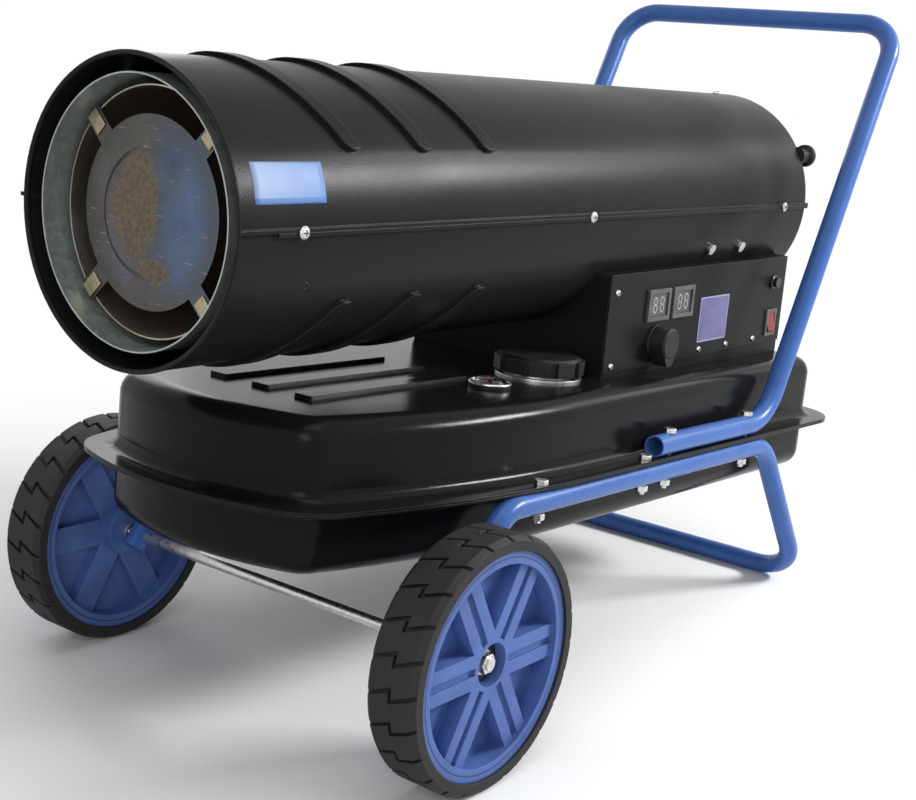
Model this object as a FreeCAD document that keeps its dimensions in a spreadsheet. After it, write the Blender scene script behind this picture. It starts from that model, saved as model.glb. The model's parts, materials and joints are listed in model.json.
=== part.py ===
"""Wheeled forced air heater: oil-fired, fan-blown, on a two-wheel cart with a push handle.

Frame: +Z up, floor at z = 0, the warm air leaves towards -X, the control panel faces -Y.
All sizes are millimetres and are kept in the sheet named Sizes.
"""
import FreeCAD, Part
import math
import os

import Sketcher
from FreeCAD import Placement, Rotation, Vector

doc = FreeCAD.newDocument("ForcedAirHeater")
sheet = doc.addObject("Spreadsheet::Sheet", "Sizes")

SIZES = {
    # outer casing
    "shell_radius": 138.5, "shell_length": 1073, "shell_front": -576, "axis_height": 514,
    "sheet_gauge": 1.5, "lip_reach": 4.5, "lip_depth": 3.5,
    "seam_one": 74, "seam_two": 529, "seam_three": 999,
    "rib_rise": 4.5, "rib_width": 20, "rib_pitch": 102, "rib_start": 98, "rib_sweep": 48, "rib_fall": 70.5,
    "rib_nib": 5, "lip_notch": 45,
    # hot end
    "shield_radius": 121.5, "shield_recess": 7, "shield_length": 380,
    "chamber_radius": 112, "chamber_recess": 31, "chamber_length": 385,
    "deflector_radius": 86.5, "deflector_flat": 54, "deflector_rise": 4.5, "tab_width": 20,
    "pin_radius": 4, "pin_front": 60, "pin_rear": 50, "plate_gauge": 3,
    "burner_radius": 40, "burner_length": 75, "burner_nose": 22, "burner_lip": 8,
    "nozzle_radius": 8, "electrode_radius": 4, "electrode_spread": 20,
    "sensor_radius": 9, "sensor_offset": 64,
    # fan and motor
    "motor_radius": 62, "motor_length": 140, "motor_front": 210, "motor_foot": 30,
    "shaft_radius": 6, "fan_radius": 125, "fan_hub": 24, "fan_depth": 38, "fan_front": 142, "blade_gauge": 2,
    "pump_radius": 48, "pump_length": 42, "filter_radius": 51, "filter_length": 20,
    "bracket_front": 240, "bracket_length": 108, "bracket_gauge": 2.5, "bracket_angle": 111,
    "guard_wire": 2.2, "guard_inset": 8, "hook_radius": 12, "hook_length": 30, "hook_angle": 61,
    # control box under the casing
    "box_front": 12, "box_rear": 462, "box_half": 137.5, "box_top": 446, "panel_gauge": 2, "panel_foot": 331,
    "display_wide": 50, "display_tall": 38, "display_left": 95, "display_pitch": 58, "display_mid": 405,
    "display_rim": 5, "display_proud": 4,
    "screw_edge": 15.5, "screw_low": 8.5, "screw_high": 94,
    "screw_two": 224, "screw_three": 296, "screw_four": 372,
    "transformer_along": 288, "transformer_near": 75, "transformer_length": 72, "transformer_width": 67,
    "transformer_height": 36, "board_along": 138, "board_near": 112, "board_length": 120, "board_width": 60,
    "board_lift": 6, "board_gauge": 2,
    "relay_inset": 12, "relay_length": 30, "relay_width": 20, "relay_height": 16,
    "knob_along": 121, "knob_up": 361, "knob_radius": 20, "knob_depth": 25, "knob_pointer": 27,
    "spindle_radius": 3,
    "switch_along": 430, "switch_up": 358, "switch_wide": 22, "switch_tall": 30, "switch_depth": 24,
    "switch_lip": 3, "switch_proud": 2.5, "switch_wall": 1.5, "pivot_radius": 1.2, "pivot_inset": 2,
    "fuse_along": 425, "fuse_up": 413, "fuse_radius": 9, "fuse_depth": 9,
    "gland_along": 430, "gland_up": 352, "gland_radius": 11, "gland_length": 20,
    # fuel tank
    "tank_top": 322, "tank_bottom": 172, "flange_mid": 242, "flange_gauge": 2.5, "flange_half": 221,
    "flange_front": -528, "flange_rear": 525, "flange_width": 32, "tank_round": 22, "tank_root": 12,
    "taper_start": -120, "taper_radius": 1150, "nose_radius": 340, "nose_corner": 70, "tail_corner": 70,
    "tank_lean": 1.8, "lean_along": 160,
    "emboss_rise": 4, "emboss_width": 22, "emboss_from": -401, "emboss_length": 246, "emboss_pitch": 58,
    "cap_along": -47, "cap_out": 89, "cap_radius": 50, "cap_height": 20, "cap_lift": 5, "neck_radius": 38,
    "neck_height": 12, "neck_wall": 2, "strainer_depth": 50,
    "gauge_along": -160, "gauge_out": 104, "gauge_radius": 23, "gauge_rim": 3, "gauge_dome": 6,
    "float_reach": 95, "float_radius": 14, "plug_radius": 9, "plug_along": -300,
    "line_radius": 3, "line_wall": 0.8, "fuel_rise": 80, "air_rise": 40, "air_side": 20, "line_bend": 28,
    # cart
    "tube_radius": 12.5, "tube_wall": 1.8, "tube_half": 210, "tube_bend": 70, "knee_bend": 40,
    "handle_end": 23, "handle_knee": 299, "handle_back": 563.5, "handle_high": 761, "handle_corner": 50,
    "frame_knee": -262, "frame_heel": 305, "stand_back": 463, "stand_corner": 60, "frame_tail": 16,
    "bolt_radius": 4, "bolt_one": -202, "bolt_two": 5, "bolt_three": 55, "bolt_four": 248,
    # wheels
    "wheel_along": -358, "wheel_radius": 125, "wheel_width": 55, "tyre_depth": 14,
    "axle_radius": 6, "washer_gauge": 1.4, "axle_nut": 7, "axle_tip": 2.4, "spacer_length": 6.9,
    "hub_radius": 26, "hub_wall": 4.5, "hub_recess": 20, "rim_ring": 13, "rim_inset": 3, "web_inset": 26,
    "web_gauge": 5, "spoke_width": 34, "spoke_inset": 8, "spoke_ridge": 13, "spoke_valley": 4,
    "back_spoke": 30, "back_inset": 12,
    "tread_depth": 5, "tread_gap": 4,
    # clearances
    "running": 0.06, "seat": 0.1, "loose": 0.3,
}
RIB_COUNT = 3
FAN_BLADES = 6
SPOKES = 6
TREAD_BLOCKS = 24
CAP_GRIPS = 10
SWIRL_SLOTS = 12
EMBOSSES = 3
DIAGONALS = (45, 135, 225, 315)
KNOB_SPIN = -90
ROCKER_TILT = 8
TREAD_SLANT = 22

for row, (alias, number) in enumerate(SIZES.items(), start=1):
    sheet.set(f"A{row}", alias)
    sheet.set(f"B{row}", str(number))
    sheet.setAlias(f"B{row}", alias)
doc.recompute()


class Size:
    """A length together with the sheet expression that gives it."""

    def __init__(self, value, text):
        self.value = float(value)
        self.text = text

    def __add__(self, other):
        other = as_size(other)
        return Size(self.value + other.value, f"({self.text} + {other.text})")

    def __sub__(self, other):
        other = as_size(other)
        return Size(self.value - other.value, f"({self.text} - {other.text})")

    def __mul__(self, other):
        other = as_size(other)
        return Size(self.value * other.value, f"({self.text} * {other.text})")

    def __truediv__(self, other):
        other = as_size(other)
        return Size(self.value / other.value, f"({self.text} / {other.text})")

    def __rsub__(self, other):
        return as_size(other) - self

    def __neg__(self):
        return Size(-self.value, f"(0 - {self.text})")

    __radd__ = __add__
    __rmul__ = __mul__


def as_size(item):
    return item if isinstance(item, Size) else Size(item, f"({float(item)})")


class Sheet:
    """Reads an alias of the sheet as a Size."""

    def __getattr__(self, alias):
        return Size(sheet.get(alias), f"Sizes.{alias}")


dim = Sheet()
parts = {}


def keep(label, item):
    item.Label = label
    parts[label] = item
    return item


def bind(item, prop, size):
    if isinstance(size, Size):
        item.setExpression(prop, size.text)
    else:
        setattr(item, prop, size)


TURN = {
    "z": Rotation(),
    "x": Rotation(Vector(0, 1, 0), 90),
    "-x": Rotation(Vector(0, 1, 0), -90),
    "y": Rotation(Vector(1, 0, 0), -90),
    "-y": Rotation(Vector(1, 0, 0), 90),
    "-z": Rotation(Vector(1, 0, 0), 180),
}


def place(item, at, axis="z", spin=0):
    """Puts the item's own Z axis along a named axis, at a point given in sizes."""
    spots = [as_size(part) for part in at]
    turn = TURN[axis].multiply(Rotation(Vector(0, 0, 1), spin))
    item.Placement = Placement(Vector(*[spot.value for spot in spots]), turn)
    for letter, spot in zip("xyz", spots):
        item.setExpression(f"Placement.Base.{letter}", spot.text)
    return item


def cylinder(name, radius, height, at, axis="z"):
    item = doc.addObject("Part::Cylinder", name)
    bind(item, "Radius", radius)
    bind(item, "Height", height)
    return place(item, at, axis)


def prism(name, circumradius, height, at, axis="z"):
    item = doc.addObject("Part::Prism", name)
    item.Polygon = 6
    bind(item, "Circumradius", circumradius)
    bind(item, "Height", height)
    return place(item, at, axis)


def block(name, low, high):
    """A box between two corners."""
    low = [as_size(part) for part in low]
    high = [as_size(part) for part in high]
    item = doc.addObject("Part::Box", name)
    for prop, start, end in zip(("Length", "Width", "Height"), low, high):
        bind(item, prop, end - start)
    return place(item, low)


def fuse(name, *items):
    item = doc.addObject("Part::MultiFuse", name)
    item.Shapes = list(items)
    return item


def cut(name, base, *tools):
    item = doc.addObject("Part::Cut", name)
    item.Base = base
    item.Tool = tools[0] if len(tools) == 1 else fuse(name + "Tools", *tools)
    return item


def common(name, *items):
    item = doc.addObject("Part::MultiCommon", name)
    item.Shapes = list(items)
    return item


def group(name, items):
    item = doc.addObject("Part::Compound", name)
    item.Links = list(items)
    return item


def lean():
    """The tank and the tubes bolted to it stand a little higher in front than at the rear."""
    turn = Rotation(Vector(0, 1, 0), dim.tank_lean.value)
    return Placement(Vector(), turn, Vector(dim.lean_along.value, 0, dim.flange_mid.value))


def leaned(name, *items):
    item = group(name, items)
    item.Placement = lean()
    return item


def before_lean(along, up):
    """Where a point of the leaning frame is before it leans, as (along, up)."""
    spot = lean().inverse().multVec(Vector(along.value, 0, up.value))
    return spot.x, spot.z


def mirrored(name, source):
    """The same piece on the far side of the heater."""
    item = doc.addObject("Part::Mirroring", name)
    item.Source = source
    item.Normal = Vector(0, 1, 0)
    return item


def outline(sketch, corners):
    """A closed polygon whose corners are held by sheet expressions."""
    corners = [(as_size(across), as_size(up)) for across, up in corners]
    spots = [Vector(across.value, up.value, 0) for across, up in corners]
    count = len(spots)
    lines = [sketch.addGeometry(Part.LineSegment(spots[i], spots[(i + 1) % count]), False)
             for i in range(count)]
    for i in range(count):
        sketch.addConstraint(Sketcher.Constraint("Coincident", lines[i], 2, lines[(i + 1) % count], 1))
    for line, (across, up) in zip(lines, corners):
        for kind, size, axis in (("DistanceX", across, -2), ("DistanceY", up, -1)):
            if size.value == 0:
                sketch.addConstraint(Sketcher.Constraint("PointOnObject", line, 1, axis))
                continue
            number = sketch.addConstraint(Sketcher.Constraint(kind, -1, 1, line, 1, size.value))
            sketch.setExpression(f"Constraints[{number}]", size.text)


def sketch_on(body, role, height=0):
    plane = [item for item in body.Origin.OriginFeatures if item.Role == role][0]
    sketch = body.newObject("Sketcher::SketchObject", "Profile")
    sketch.AttachmentSupport = (plane, [""])
    sketch.MapMode = "FlatFace"
    if isinstance(height, Size):
        sketch.setExpression("AttachmentOffset.Base.z", height.text)
    return sketch


def turned(name, profile, at, axis="z", spin=0):
    """A body of revolution from (radius, height) corners, its axis along a named axis."""
    body = doc.addObject("PartDesign::Body", name)
    sketch = sketch_on(body, "XZ_Plane")
    outline(sketch, profile)
    lathe = body.newObject("PartDesign::Revolution", "Turn")
    lathe.Profile = sketch
    lathe.ReferenceAxis = (sketch, ["V_Axis"])
    lathe.Angle = 360
    return place(body, at, axis, spin)


def ring_of(body, feature, sketch, count):
    pattern = body.newObject("PartDesign::PolarPattern", "Ring")
    pattern.Originals = [feature]
    pattern.Axis = (sketch, ["N_Axis"])
    pattern.Angle = 360
    pattern.Occurrences = count
    body.Tip = pattern


def add_ring(body, corners, height, rise, count):
    """Pads one outline and repeats it round the body's axis."""
    sketch = sketch_on(body, "XY_Plane", as_size(height))
    outline(sketch, corners)
    pad = body.newObject("PartDesign::Pad", "Pad")
    pad.Profile = sketch
    bind(pad, "Length", as_size(rise))
    ring_of(body, pad, sketch, count)


def cut_ring(body, corners, height, depth, count):
    """Cuts one outline downwards from a height and repeats it round the body's axis."""
    doc.recompute()
    before = body.Shape.Volume
    sketch = sketch_on(body, "XY_Plane", as_size(height))
    outline(sketch, corners)
    pocket = body.newObject("PartDesign::Pocket", "Pocket")
    pocket.Profile = sketch
    bind(pocket, "Length", as_size(depth))
    ring_of(body, pocket, sketch, count)
    doc.recompute()
    if body.Shape.Volume >= before:
        raise RuntimeError(f"{body.Name}: the pocket cuts nothing")


def bar(start, end, low, high):
    """Corners of a rectangle that reaches outwards along X."""
    return [(start, low), (end, low), (end, high), (start, high)]


def bent_path(points, bends):
    """Straight runs joined by tangent arcs; one bend radius for each inner point."""
    edges = []
    here = points[0]
    for before, corner, after, radius in zip(points, points[1:], points[2:], bends):
        inward = (before - corner).normalize()
        outward = (after - corner).normalize()
        half = (math.pi - inward.getAngle(outward)) / 2
        reach = radius * math.tan(half)
        start = corner + inward * reach
        end = corner + outward * reach
        middle = corner + (inward + outward).normalize() * (radius / math.cos(half) - radius)
        edges.append(Part.LineSegment(here, start).toShape())
        edges.append(Part.Arc(start, middle, end).toShape())
        here = end
    edges.append(Part.LineSegment(here, points[-1]).toShape())
    return Part.Wire(edges)


def swept(path, radius):
    first = path.Edges[0]
    here = first.FirstParameter
    circle = Part.makeCircle(radius, first.valueAt(here), first.tangentAt(here))
    return path.makePipeShell([Part.Wire(circle)], True, False)


def bent_tube(name, points, bends, radius, wall):
    """A tube along straight runs and arcs, open at both ends."""
    path = bent_path([Vector(*[as_size(part).value for part in point]) for point in points],
                     [as_size(bend).value for bend in bends])
    bore = radius.value - wall.value
    shape = swept(path, radius.value).cut(swept(path, bore))
    expected = math.pi * (radius.value ** 2 - bore ** 2) * path.Length
    if abs(shape.Volume - expected) > 0.01 * expected:
        raise RuntimeError(f"{name}: the tube's volume is off")
    item = doc.addObject("Part::Feature", name)
    item.Shape = shape
    item.Placement = Placement()
    return item


def shell_halves():
    """Two stamped half tubes that meet at seam lips on both sides, each with three swept ribs."""
    middle = dim.axis_height
    reach = dim.shell_radius + dim.lip_reach
    rear = dim.shell_front + dim.shell_length

    def half(name, up):
        top = middle + reach if up else middle
        foot = middle if up else middle - reach
        room = block(name + "Room", (dim.shell_front, -reach, foot), (rear, reach, top))
        outer = cylinder(name + "Outer", dim.shell_radius, dim.shell_length,
                         (dim.shell_front, 0, middle), "x")
        inner = cylinder(name + "Inner", dim.shell_radius - dim.sheet_gauge, dim.shell_length,
                         (dim.shell_front, 0, middle), "x")
        lip_low = middle if up else middle - dim.lip_depth
        lip_front = dim.shell_front if up else dim.shell_front + dim.lip_notch
        lips = block(name + "Lips", (lip_front, -reach, lip_low),
                     (rear, reach, lip_low + dim.lip_depth))
        body = common(name + "Half", fuse(name + "Full", outer, lips, *ribs(name, up, 0)), room)
        tools = [inner, *ribs(name, up, dim.sheet_gauge), *shell_holes(name, up)]
        return cut(name, body, *tools)

    keep("upper_shell", half("UpperShell", True))
    keep("lower_shell", half("LowerShell", False))


def ribs(name, up, skin):
    """Swept beads: a slanted slab kept to a larger circle, with a bevelled end above or below the seam.

    A skin above zero gives the hollow on the inside of the sheet.
    """
    sign = 1 if up else -1
    crown = dim.shell_radius + dim.rib_rise
    slope = dim.rib_sweep / dim.rib_fall
    low = dim.shell_radius - dim.rib_fall + skin
    drop = (dim.shell_radius - low) * slope
    rise = (crown + 1 - dim.shell_radius) * slope
    found = []
    for number in range(RIB_COUNT):
        front = dim.shell_front + dim.rib_start + dim.rib_pitch * number + skin
        back = front + dim.rib_width - 2 * as_size(skin)
        bevel = drop - dim.rib_nib * slope
        corners = [(front + bevel, sign * (low + dim.rib_nib)), (front + drop + dim.rib_nib, sign * low),
                   (back + drop - dim.rib_nib, sign * low), (back + bevel, sign * (low + dim.rib_nib)),
                   (back - rise, sign * (crown + 1)), (front - rise, sign * (crown + 1))]
        body = doc.addObject("PartDesign::Body", f"{name}Slab")
        sketch = sketch_on(body, "XZ_Plane")
        outline(sketch, corners)
        pad = body.newObject("PartDesign::Pad", "Slab")
        pad.Profile = sketch
        pad.SideType = "Symmetric"
        bind(pad, "Length", 2 * crown)
        place(body, (0, 0, dim.axis_height))
        round_bar = cylinder(f"{name}Crown", crown - skin, dim.shell_length,
                             (dim.shell_front, 0, dim.axis_height), "x")
        found.append(common(f"{name}Rib", body, round_bar))
    return found


def seam_spots():
    """Distances of the seam screws from the casing's front edge."""
    return (dim.seam_one, dim.seam_two, dim.seam_three)


def shell_holes(name, up):
    """Holes for the seam screws and, below, for the bracket bolts and the two fuel lines."""
    tools = []
    for distance in seam_spots():
        tools.append(cylinder(f"{name}ScrewHole", dim.bolt_radius / 2 + dim.seat, 2 * dim.shell_radius + 60,
                              (dim.shell_front + distance, -dim.shell_radius - 30, dim.axis_height), "y"))
    if up:
        return tools
    for side in (-1, 1):
        for along in bracket_bolts():
            tools.append(radial(f"{name}BoltHole", dim.bolt_radius + dim.seat, dim.shell_radius - 12,
                                dim.shell_radius + 12, along, side))
    for along, across in ((dim.fuel_rise, 0), (dim.air_rise, dim.air_side), (pump_port(), dim.air_side)):
        tools.append(cylinder(f"{name}LineHole", dim.line_radius + dim.loose, 90,
                              (along, across, dim.axis_height - dim.shell_radius - 30)))
    return tools


def bracket_bolts():
    return (dim.bracket_front + 14, dim.bracket_front + dim.bracket_length - 14)


def radial(name, radius, inner, outer, along, side):
    """A cylinder that points out through the casing at the bracket angle, on the near or far side."""
    inner = as_size(inner)
    outer = as_size(outer)
    item = doc.addObject("Part::Cylinder", name)
    bind(item, "Radius", as_size(radius))
    bind(item, "Height", outer - inner)
    angle = dim.bracket_angle
    item.Placement = Placement(Vector(), Rotation(Vector(1, 0, 0), -side * angle.value))
    item.setExpression("Placement.Base.x", along.text)
    item.setExpression("Placement.Base.y", f"{side} * {inner.text} * sin({angle.text} * 1 deg)")
    item.setExpression("Placement.Base.z", f"Sizes.axis_height + {inner.text} * cos({angle.text} * 1 deg)")
    return item


def hot_end():
    """Heat shield, combustion chamber, flame deflector and the burner behind them."""
    middle = dim.axis_height
    skin = dim.sheet_gauge
    shield_front = dim.shell_front + dim.shield_recess
    keep("heat_shield", turned("HeatShield", bar(dim.shield_radius - skin, dim.shield_radius, 0,
                                                 dim.shield_length), (shield_front, 0, middle), "x"))
    front = dim.shell_front + dim.chamber_recess
    back = front + dim.chamber_length
    keep("combustion_chamber", turned("Chamber", bar(dim.chamber_radius - skin, dim.chamber_radius, 0,
                                                     dim.chamber_length), (front, 0, middle), "x"))
    pins = []
    for along in (front + dim.pin_front, back - dim.pin_rear):
        for angle in DIAGONALS:
            for low, high in ((dim.chamber_radius, dim.shield_radius - skin),
                              (dim.shield_radius, dim.shell_radius - skin)):
                pins.append(stand_off(along, angle, low + dim.seat / 2, high - dim.seat))
    keep("spacer_pins", group("SpacerPins", pins))

    rise = dim.deflector_rise
    brim = dim.deflector_radius
    flat = dim.deflector_flat
    disc = turned("Deflector", [(0, 0), (flat, 0), (flat + 5, rise / 2), (brim, rise), (brim, rise + skin),
                                (flat + 4, rise / 2 + skin), (flat - 1, skin), (0, skin)],
                  (front - rise - skin, 0, middle), "x", 45)
    add_ring(disc, bar(brim - 5, dim.chamber_radius + 2, -dim.tab_width / 2, dim.tab_width / 2),
             rise, skin, 4)
    keep("flame_deflector", disc)
    clips = [spoke("Clip", front - 2 * skin, front - skin, brim + 8, dim.chamber_radius + 2,
                   dim.tab_width * 0.7, angle) for angle in DIAGONALS]
    keep("deflector_clips", group("DeflectorClips", clips))
    burner(back)


def spoke(name, front, back, low, high, width, angle):
    """A flat bar that stands out from the casing's axis at an angle from the top."""
    item = doc.addObject("Part::Box", name)
    bind(item, "Length", back - front)
    bind(item, "Width", width)
    bind(item, "Height", high - low)
    item.Placement = Placement(Vector(), Rotation(Vector(1, 0, 0), -angle))
    half = width / 2
    item.setExpression("Placement.Base.x", front.text)
    item.setExpression("Placement.Base.y", f"{low.text} * sin({angle} deg) - {half.text} * cos({angle} deg)")
    item.setExpression("Placement.Base.z", f"{dim.axis_height.text} + {low.text} * cos({angle} deg)"
                                           f" + {half.text} * sin({angle} deg)")
    return item


def stand_off(along, angle, low, high, radius=dim.pin_radius):
    """A round pin that stands out from the casing's axis at an angle from the top."""
    item = doc.addObject("Part::Cylinder", "Pin")
    bind(item, "Radius", radius)
    bind(item, "Height", high - low)
    item.Placement = Placement(Vector(), Rotation(Vector(1, 0, 0), -angle))
    item.setExpression("Placement.Base.x", along.text)
    item.setExpression("Placement.Base.y", f"{low.text} * sin({angle} deg)")
    item.setExpression("Placement.Base.z", f"{dim.axis_height.text} + {low.text} * cos({angle} deg)")
    return item


def burner(front):
    """Swirl plate at the back of the chamber with the burner head, nozzle, electrodes and sensor."""
    middle = dim.axis_height
    bore = dim.burner_radius + dim.seat
    plate = turned("BurnerPlate", bar(bore, dim.chamber_radius, 0, dim.plate_gauge), (front, 0, middle), "x")
    cut_ring(plate, bar(bore + 14, dim.chamber_radius - 14, -3, 3), dim.plate_gauge, dim.plate_gauge + 1,
             SWIRL_SLOTS)
    keep("burner_plate", plate)

    back = front + dim.plate_gauge
    length = dim.burner_length - dim.burner_nose
    rim = dim.burner_radius
    skin = 2
    lip = rim + dim.burner_lip
    throat = dim.nozzle_radius + dim.running
    nose = -dim.burner_nose
    cup = turned("BurnerCup", [(rim - skin, nose), (rim, nose), (rim, 0), (lip, 0), (lip, skin), (rim, skin),
                               (rim, length), (throat, length), (throat, length - skin),
                               (rim - skin, length - skin)], (back, 0, middle), "x")
    wall = back + length
    spread = dim.electrode_spread
    ports = []
    for side in (-1, 1):
        ports.append(cylinder("Port", dim.electrode_radius + dim.seat, 20,
                              (wall - 10, side * spread / 2, middle + spread), "x"))
    ports.append(cylinder("AirPort", dim.line_radius + dim.seat, 20,
                          (wall - 10, dim.air_side, middle - dim.air_side), "x"))
    keep("burner_head", cut("BurnerHead", cup, *ports))

    nozzle = dim.nozzle_radius
    keep("fuel_nozzle", turned("Nozzle", [(0, 0), (nozzle / 3, 0), (nozzle, nozzle), (nozzle, 45), (0, 45)],
                               (wall - 30, 0, middle), "x"))
    rods = []
    for side in (-1, 1):
        across = side * spread / 2
        ceramic = cylinder("Ceramic", dim.electrode_radius, length + 30,
                           (back - 10, across, middle + spread), "x")
        tip = cylinder("Tip", dim.electrode_radius / 3, 20, (back - 24, across, middle + spread), "x")
        rods.append(fuse("Electrode", ceramic, tip))
    keep("spark_electrodes", group("Electrodes", rods))
    keep("flame_sensor", turned("Sensor", [(0, 0), (dim.sensor_radius, 0), (dim.sensor_radius, 22),
                                           (dim.sensor_radius / 2, 26), (dim.sensor_radius / 2, 34), (0, 34)],
                                (back, 0, middle + dim.sensor_offset), "x"))


def burner_wall():
    return (dim.shell_front + dim.chamber_recess + dim.chamber_length + dim.plate_gauge
            + dim.burner_length - dim.burner_nose)


def pump_port():
    return dim.motor_front + dim.motor_length + dim.pump_length / 2


def fan_and_motor():
    """Motor on a cradle, axial fan in front of it, air pump and filter cover behind."""
    middle = dim.axis_height
    radius = dim.motor_radius
    length = dim.motor_length
    bore = dim.shaft_radius + dim.running
    step = 8
    case = turned("MotorCase", [(bore, 0), (radius / 2, 0), (radius / 2, step), (radius - 6, step),
                                (radius, 2 * step), (radius, length - 2 * step), (radius - 6, length - step),
                                (radius / 2, length - step), (radius / 2, length), (0, length),
                                (0, length - 2 * step), (bore, length - 2 * step)],
                  (dim.motor_front, 0, middle), "x")
    table = middle - radius - 1
    foot = block("MotorFoot", (dim.bracket_front + 8, -dim.motor_foot, table),
                 (dim.motor_front + length - 2 * step, dim.motor_foot, table + 12))
    keep("motor_housing", fuse("Motor", case, foot))
    reach = dim.motor_front - dim.fan_front + length - 2 * step
    keep("motor_shaft", cylinder("Shaft", dim.shaft_radius, reach + step - 1,
                                 (dim.fan_front - step, 0, middle), "x"))

    hub = turned("FanHub", bar(bore, dim.fan_hub, 0, dim.fan_depth), (dim.fan_front, 0, middle), "x")
    blades = doc.addObject("Part::Feature", "FanBlades")
    blades.Shape = fan_blades()
    blades.Placement = Placement(Vector(0, 0, 0), Rotation())
    keep("fan", fuse("Fan", hub, blades))

    tail = dim.motor_front + length
    pump = turned("PumpCase", bar(0, dim.pump_radius, 0, dim.pump_length), (tail, 0, middle), "x")
    port = cylinder("PumpPort", 2 * dim.line_radius, 20,
                    (pump_port(), dim.air_side, middle - dim.pump_radius - 4))
    keep("air_pump", fuse("Pump", pump, port))
    cover = turned("FilterCover", [(0, 0), (dim.filter_radius, 0), (dim.filter_radius, dim.filter_length - 5),
                                   (dim.filter_radius - 5, dim.filter_length), (0, dim.filter_length)],
                   (tail + dim.pump_length, 0, middle), "x")
    cut_ring(cover, bar(dim.filter_radius - 20, dim.filter_radius - 10, -2, 2), dim.filter_length, 4,
             CAP_GRIPS)
    keep("filter_cover", cover)
    motor_bracket(table)


def fan_blades():
    """Pitched blades, wider and flatter towards the tip."""
    center = Vector(dim.fan_front.value + dim.fan_depth.value / 2, 0, dim.axis_height.value)
    depth = dim.fan_depth.value
    gauge = dim.blade_gauge.value

    def section(radius, chord, pitch):
        half = chord / 2
        frame = Rotation(Vector(0, 0, 1), pitch)
        corners = [(-half, -gauge / 2), (half, -gauge / 2), (half, gauge / 2), (-half, gauge / 2)]
        spots = [frame.multVec(Vector(0, across, 0) + Vector(along, 0, 0)) for across, along in corners]
        spots = [center + spot + Vector(0, 0, radius) for spot in spots]
        return Part.makePolygon(spots + spots[:1])

    root = section(dim.fan_hub.value - 4, 0.85 * depth, 48)
    tip = section(dim.fan_radius.value, 1.5 * depth, 26)
    blade = Part.makeLoft([root, tip], True, True)
    return Part.makeCompound([blade.rotated(center, Vector(1, 0, 0), 360 * number / FAN_BLADES)
                              for number in range(FAN_BLADES)])


def motor_bracket(table):
    """Cradle plate across the casing with turned-up ends bolted to the lower shell."""
    middle = dim.axis_height
    skin = dim.bracket_gauge
    inside = dim.shell_radius - dim.sheet_gauge - dim.seat
    front = dim.bracket_front
    back = front + dim.bracket_length
    disc = cylinder("BracketDisc", inside, dim.bracket_length, (front, 0, middle), "x")
    plate = common("BracketPlate", disc, block("BracketSlab", (front, -dim.shell_radius, table - skin),
                                               (back, dim.shell_radius, table)))
    ring = turned("BracketRing", bar(inside - skin, inside, 0, dim.bracket_length), (front, 0, middle), "x")
    ends = common("BracketEnds", ring, block("BracketBand", (front, -dim.shell_radius, table - skin),
                                             (back, dim.shell_radius, table + 34)))
    holes = []
    bolts = []
    nuts = []
    size = dim.bolt_radius
    under = inside - skin - dim.loose
    for side in (-1, 1):
        for along in bracket_bolts():
            holes.append(radial("BracketHole", size + dim.seat, inside - 12, inside + 5, along, side))
            head = radial("BracketHead", 1.7 * size, dim.shell_radius + dim.seat, dim.shell_radius + size + 1,
                          along, side)
            shank = radial("BracketShank", size, under - 2 * size, dim.shell_radius + 1, along, side)
            bolts.append(fuse("BracketBolt", head, shank))
            nut = radial("BracketNut", 1.7 * size, under - 1.5 * size, under, along, side)
            eye = radial("BracketEye", size + dim.seat, under - 3 * size, under + 1, along, side)
            nuts.append(cut("BracketNutCut", nut, eye))
    keep("motor_bracket", cut("MotorBracket", fuse("BracketBlank", plate, ends), *holes))
    keep("bracket_fasteners", group("BracketFasteners", bolts + nuts))


def rear_end():
    """Wire guard over the air inlet and the cord hook on the rear rim."""
    rear = dim.shell_front + dim.shell_length
    along = rear - dim.guard_inset
    wire = dim.guard_wire
    outer = dim.shell_radius - dim.sheet_gauge - wire - dim.loose
    pieces = []
    for share in (0.25, 0.45, 0.65, 0.83, 1):
        hoop = doc.addObject("Part::Torus", "GuardHoop")
        bind(hoop, "Radius1", outer * share)
        bind(hoop, "Radius2", wire)
        pieces.append(place(hoop, (along, 0, dim.axis_height), "x"))
    for angle in range(0, 360, 60):
        pieces.append(stand_off(along, angle, outer * 0.05, outer, wire * 0.9))
    pieces.append(cylinder("GuardHub", outer * 0.12, 2 * wire, (along - wire, 0, dim.axis_height), "x"))
    keep("fan_guard", fuse("FanGuard", *pieces))

    hook = turned("CordHook", [(0, 0), (dim.hook_radius, 0), (dim.hook_radius - 2, 6),
                               (dim.hook_radius - 2, dim.hook_length - 8),
                               (dim.hook_radius + 3, dim.hook_length - 6),
                               (dim.hook_radius + 3, dim.hook_length), (0, dim.hook_length)], (0, 0, 0), "x")
    reach = dim.shell_radius - 5
    turn = "Sizes.hook_angle * 1 deg"
    hook.setExpression("Placement.Base.x", (rear + dim.seat).text)
    hook.setExpression("Placement.Base.y", f"0 - {reach.text} * sin({turn})")
    hook.setExpression("Placement.Base.z", f"Sizes.axis_height + {reach.text} * cos({turn})")
    keep("cord_hook", hook)


def panel_face():
    return dim.box_half + dim.panel_gauge


def screw_spots():
    edge = (dim.box_front + dim.screw_edge, dim.panel_foot + dim.screw_high)
    low = dim.panel_foot + dim.screw_low
    return [edge, *[(dim.box_front + along, low)
                    for along in (dim.screw_edge, dim.screw_two, dim.screw_three, dim.screw_four)]]


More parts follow.
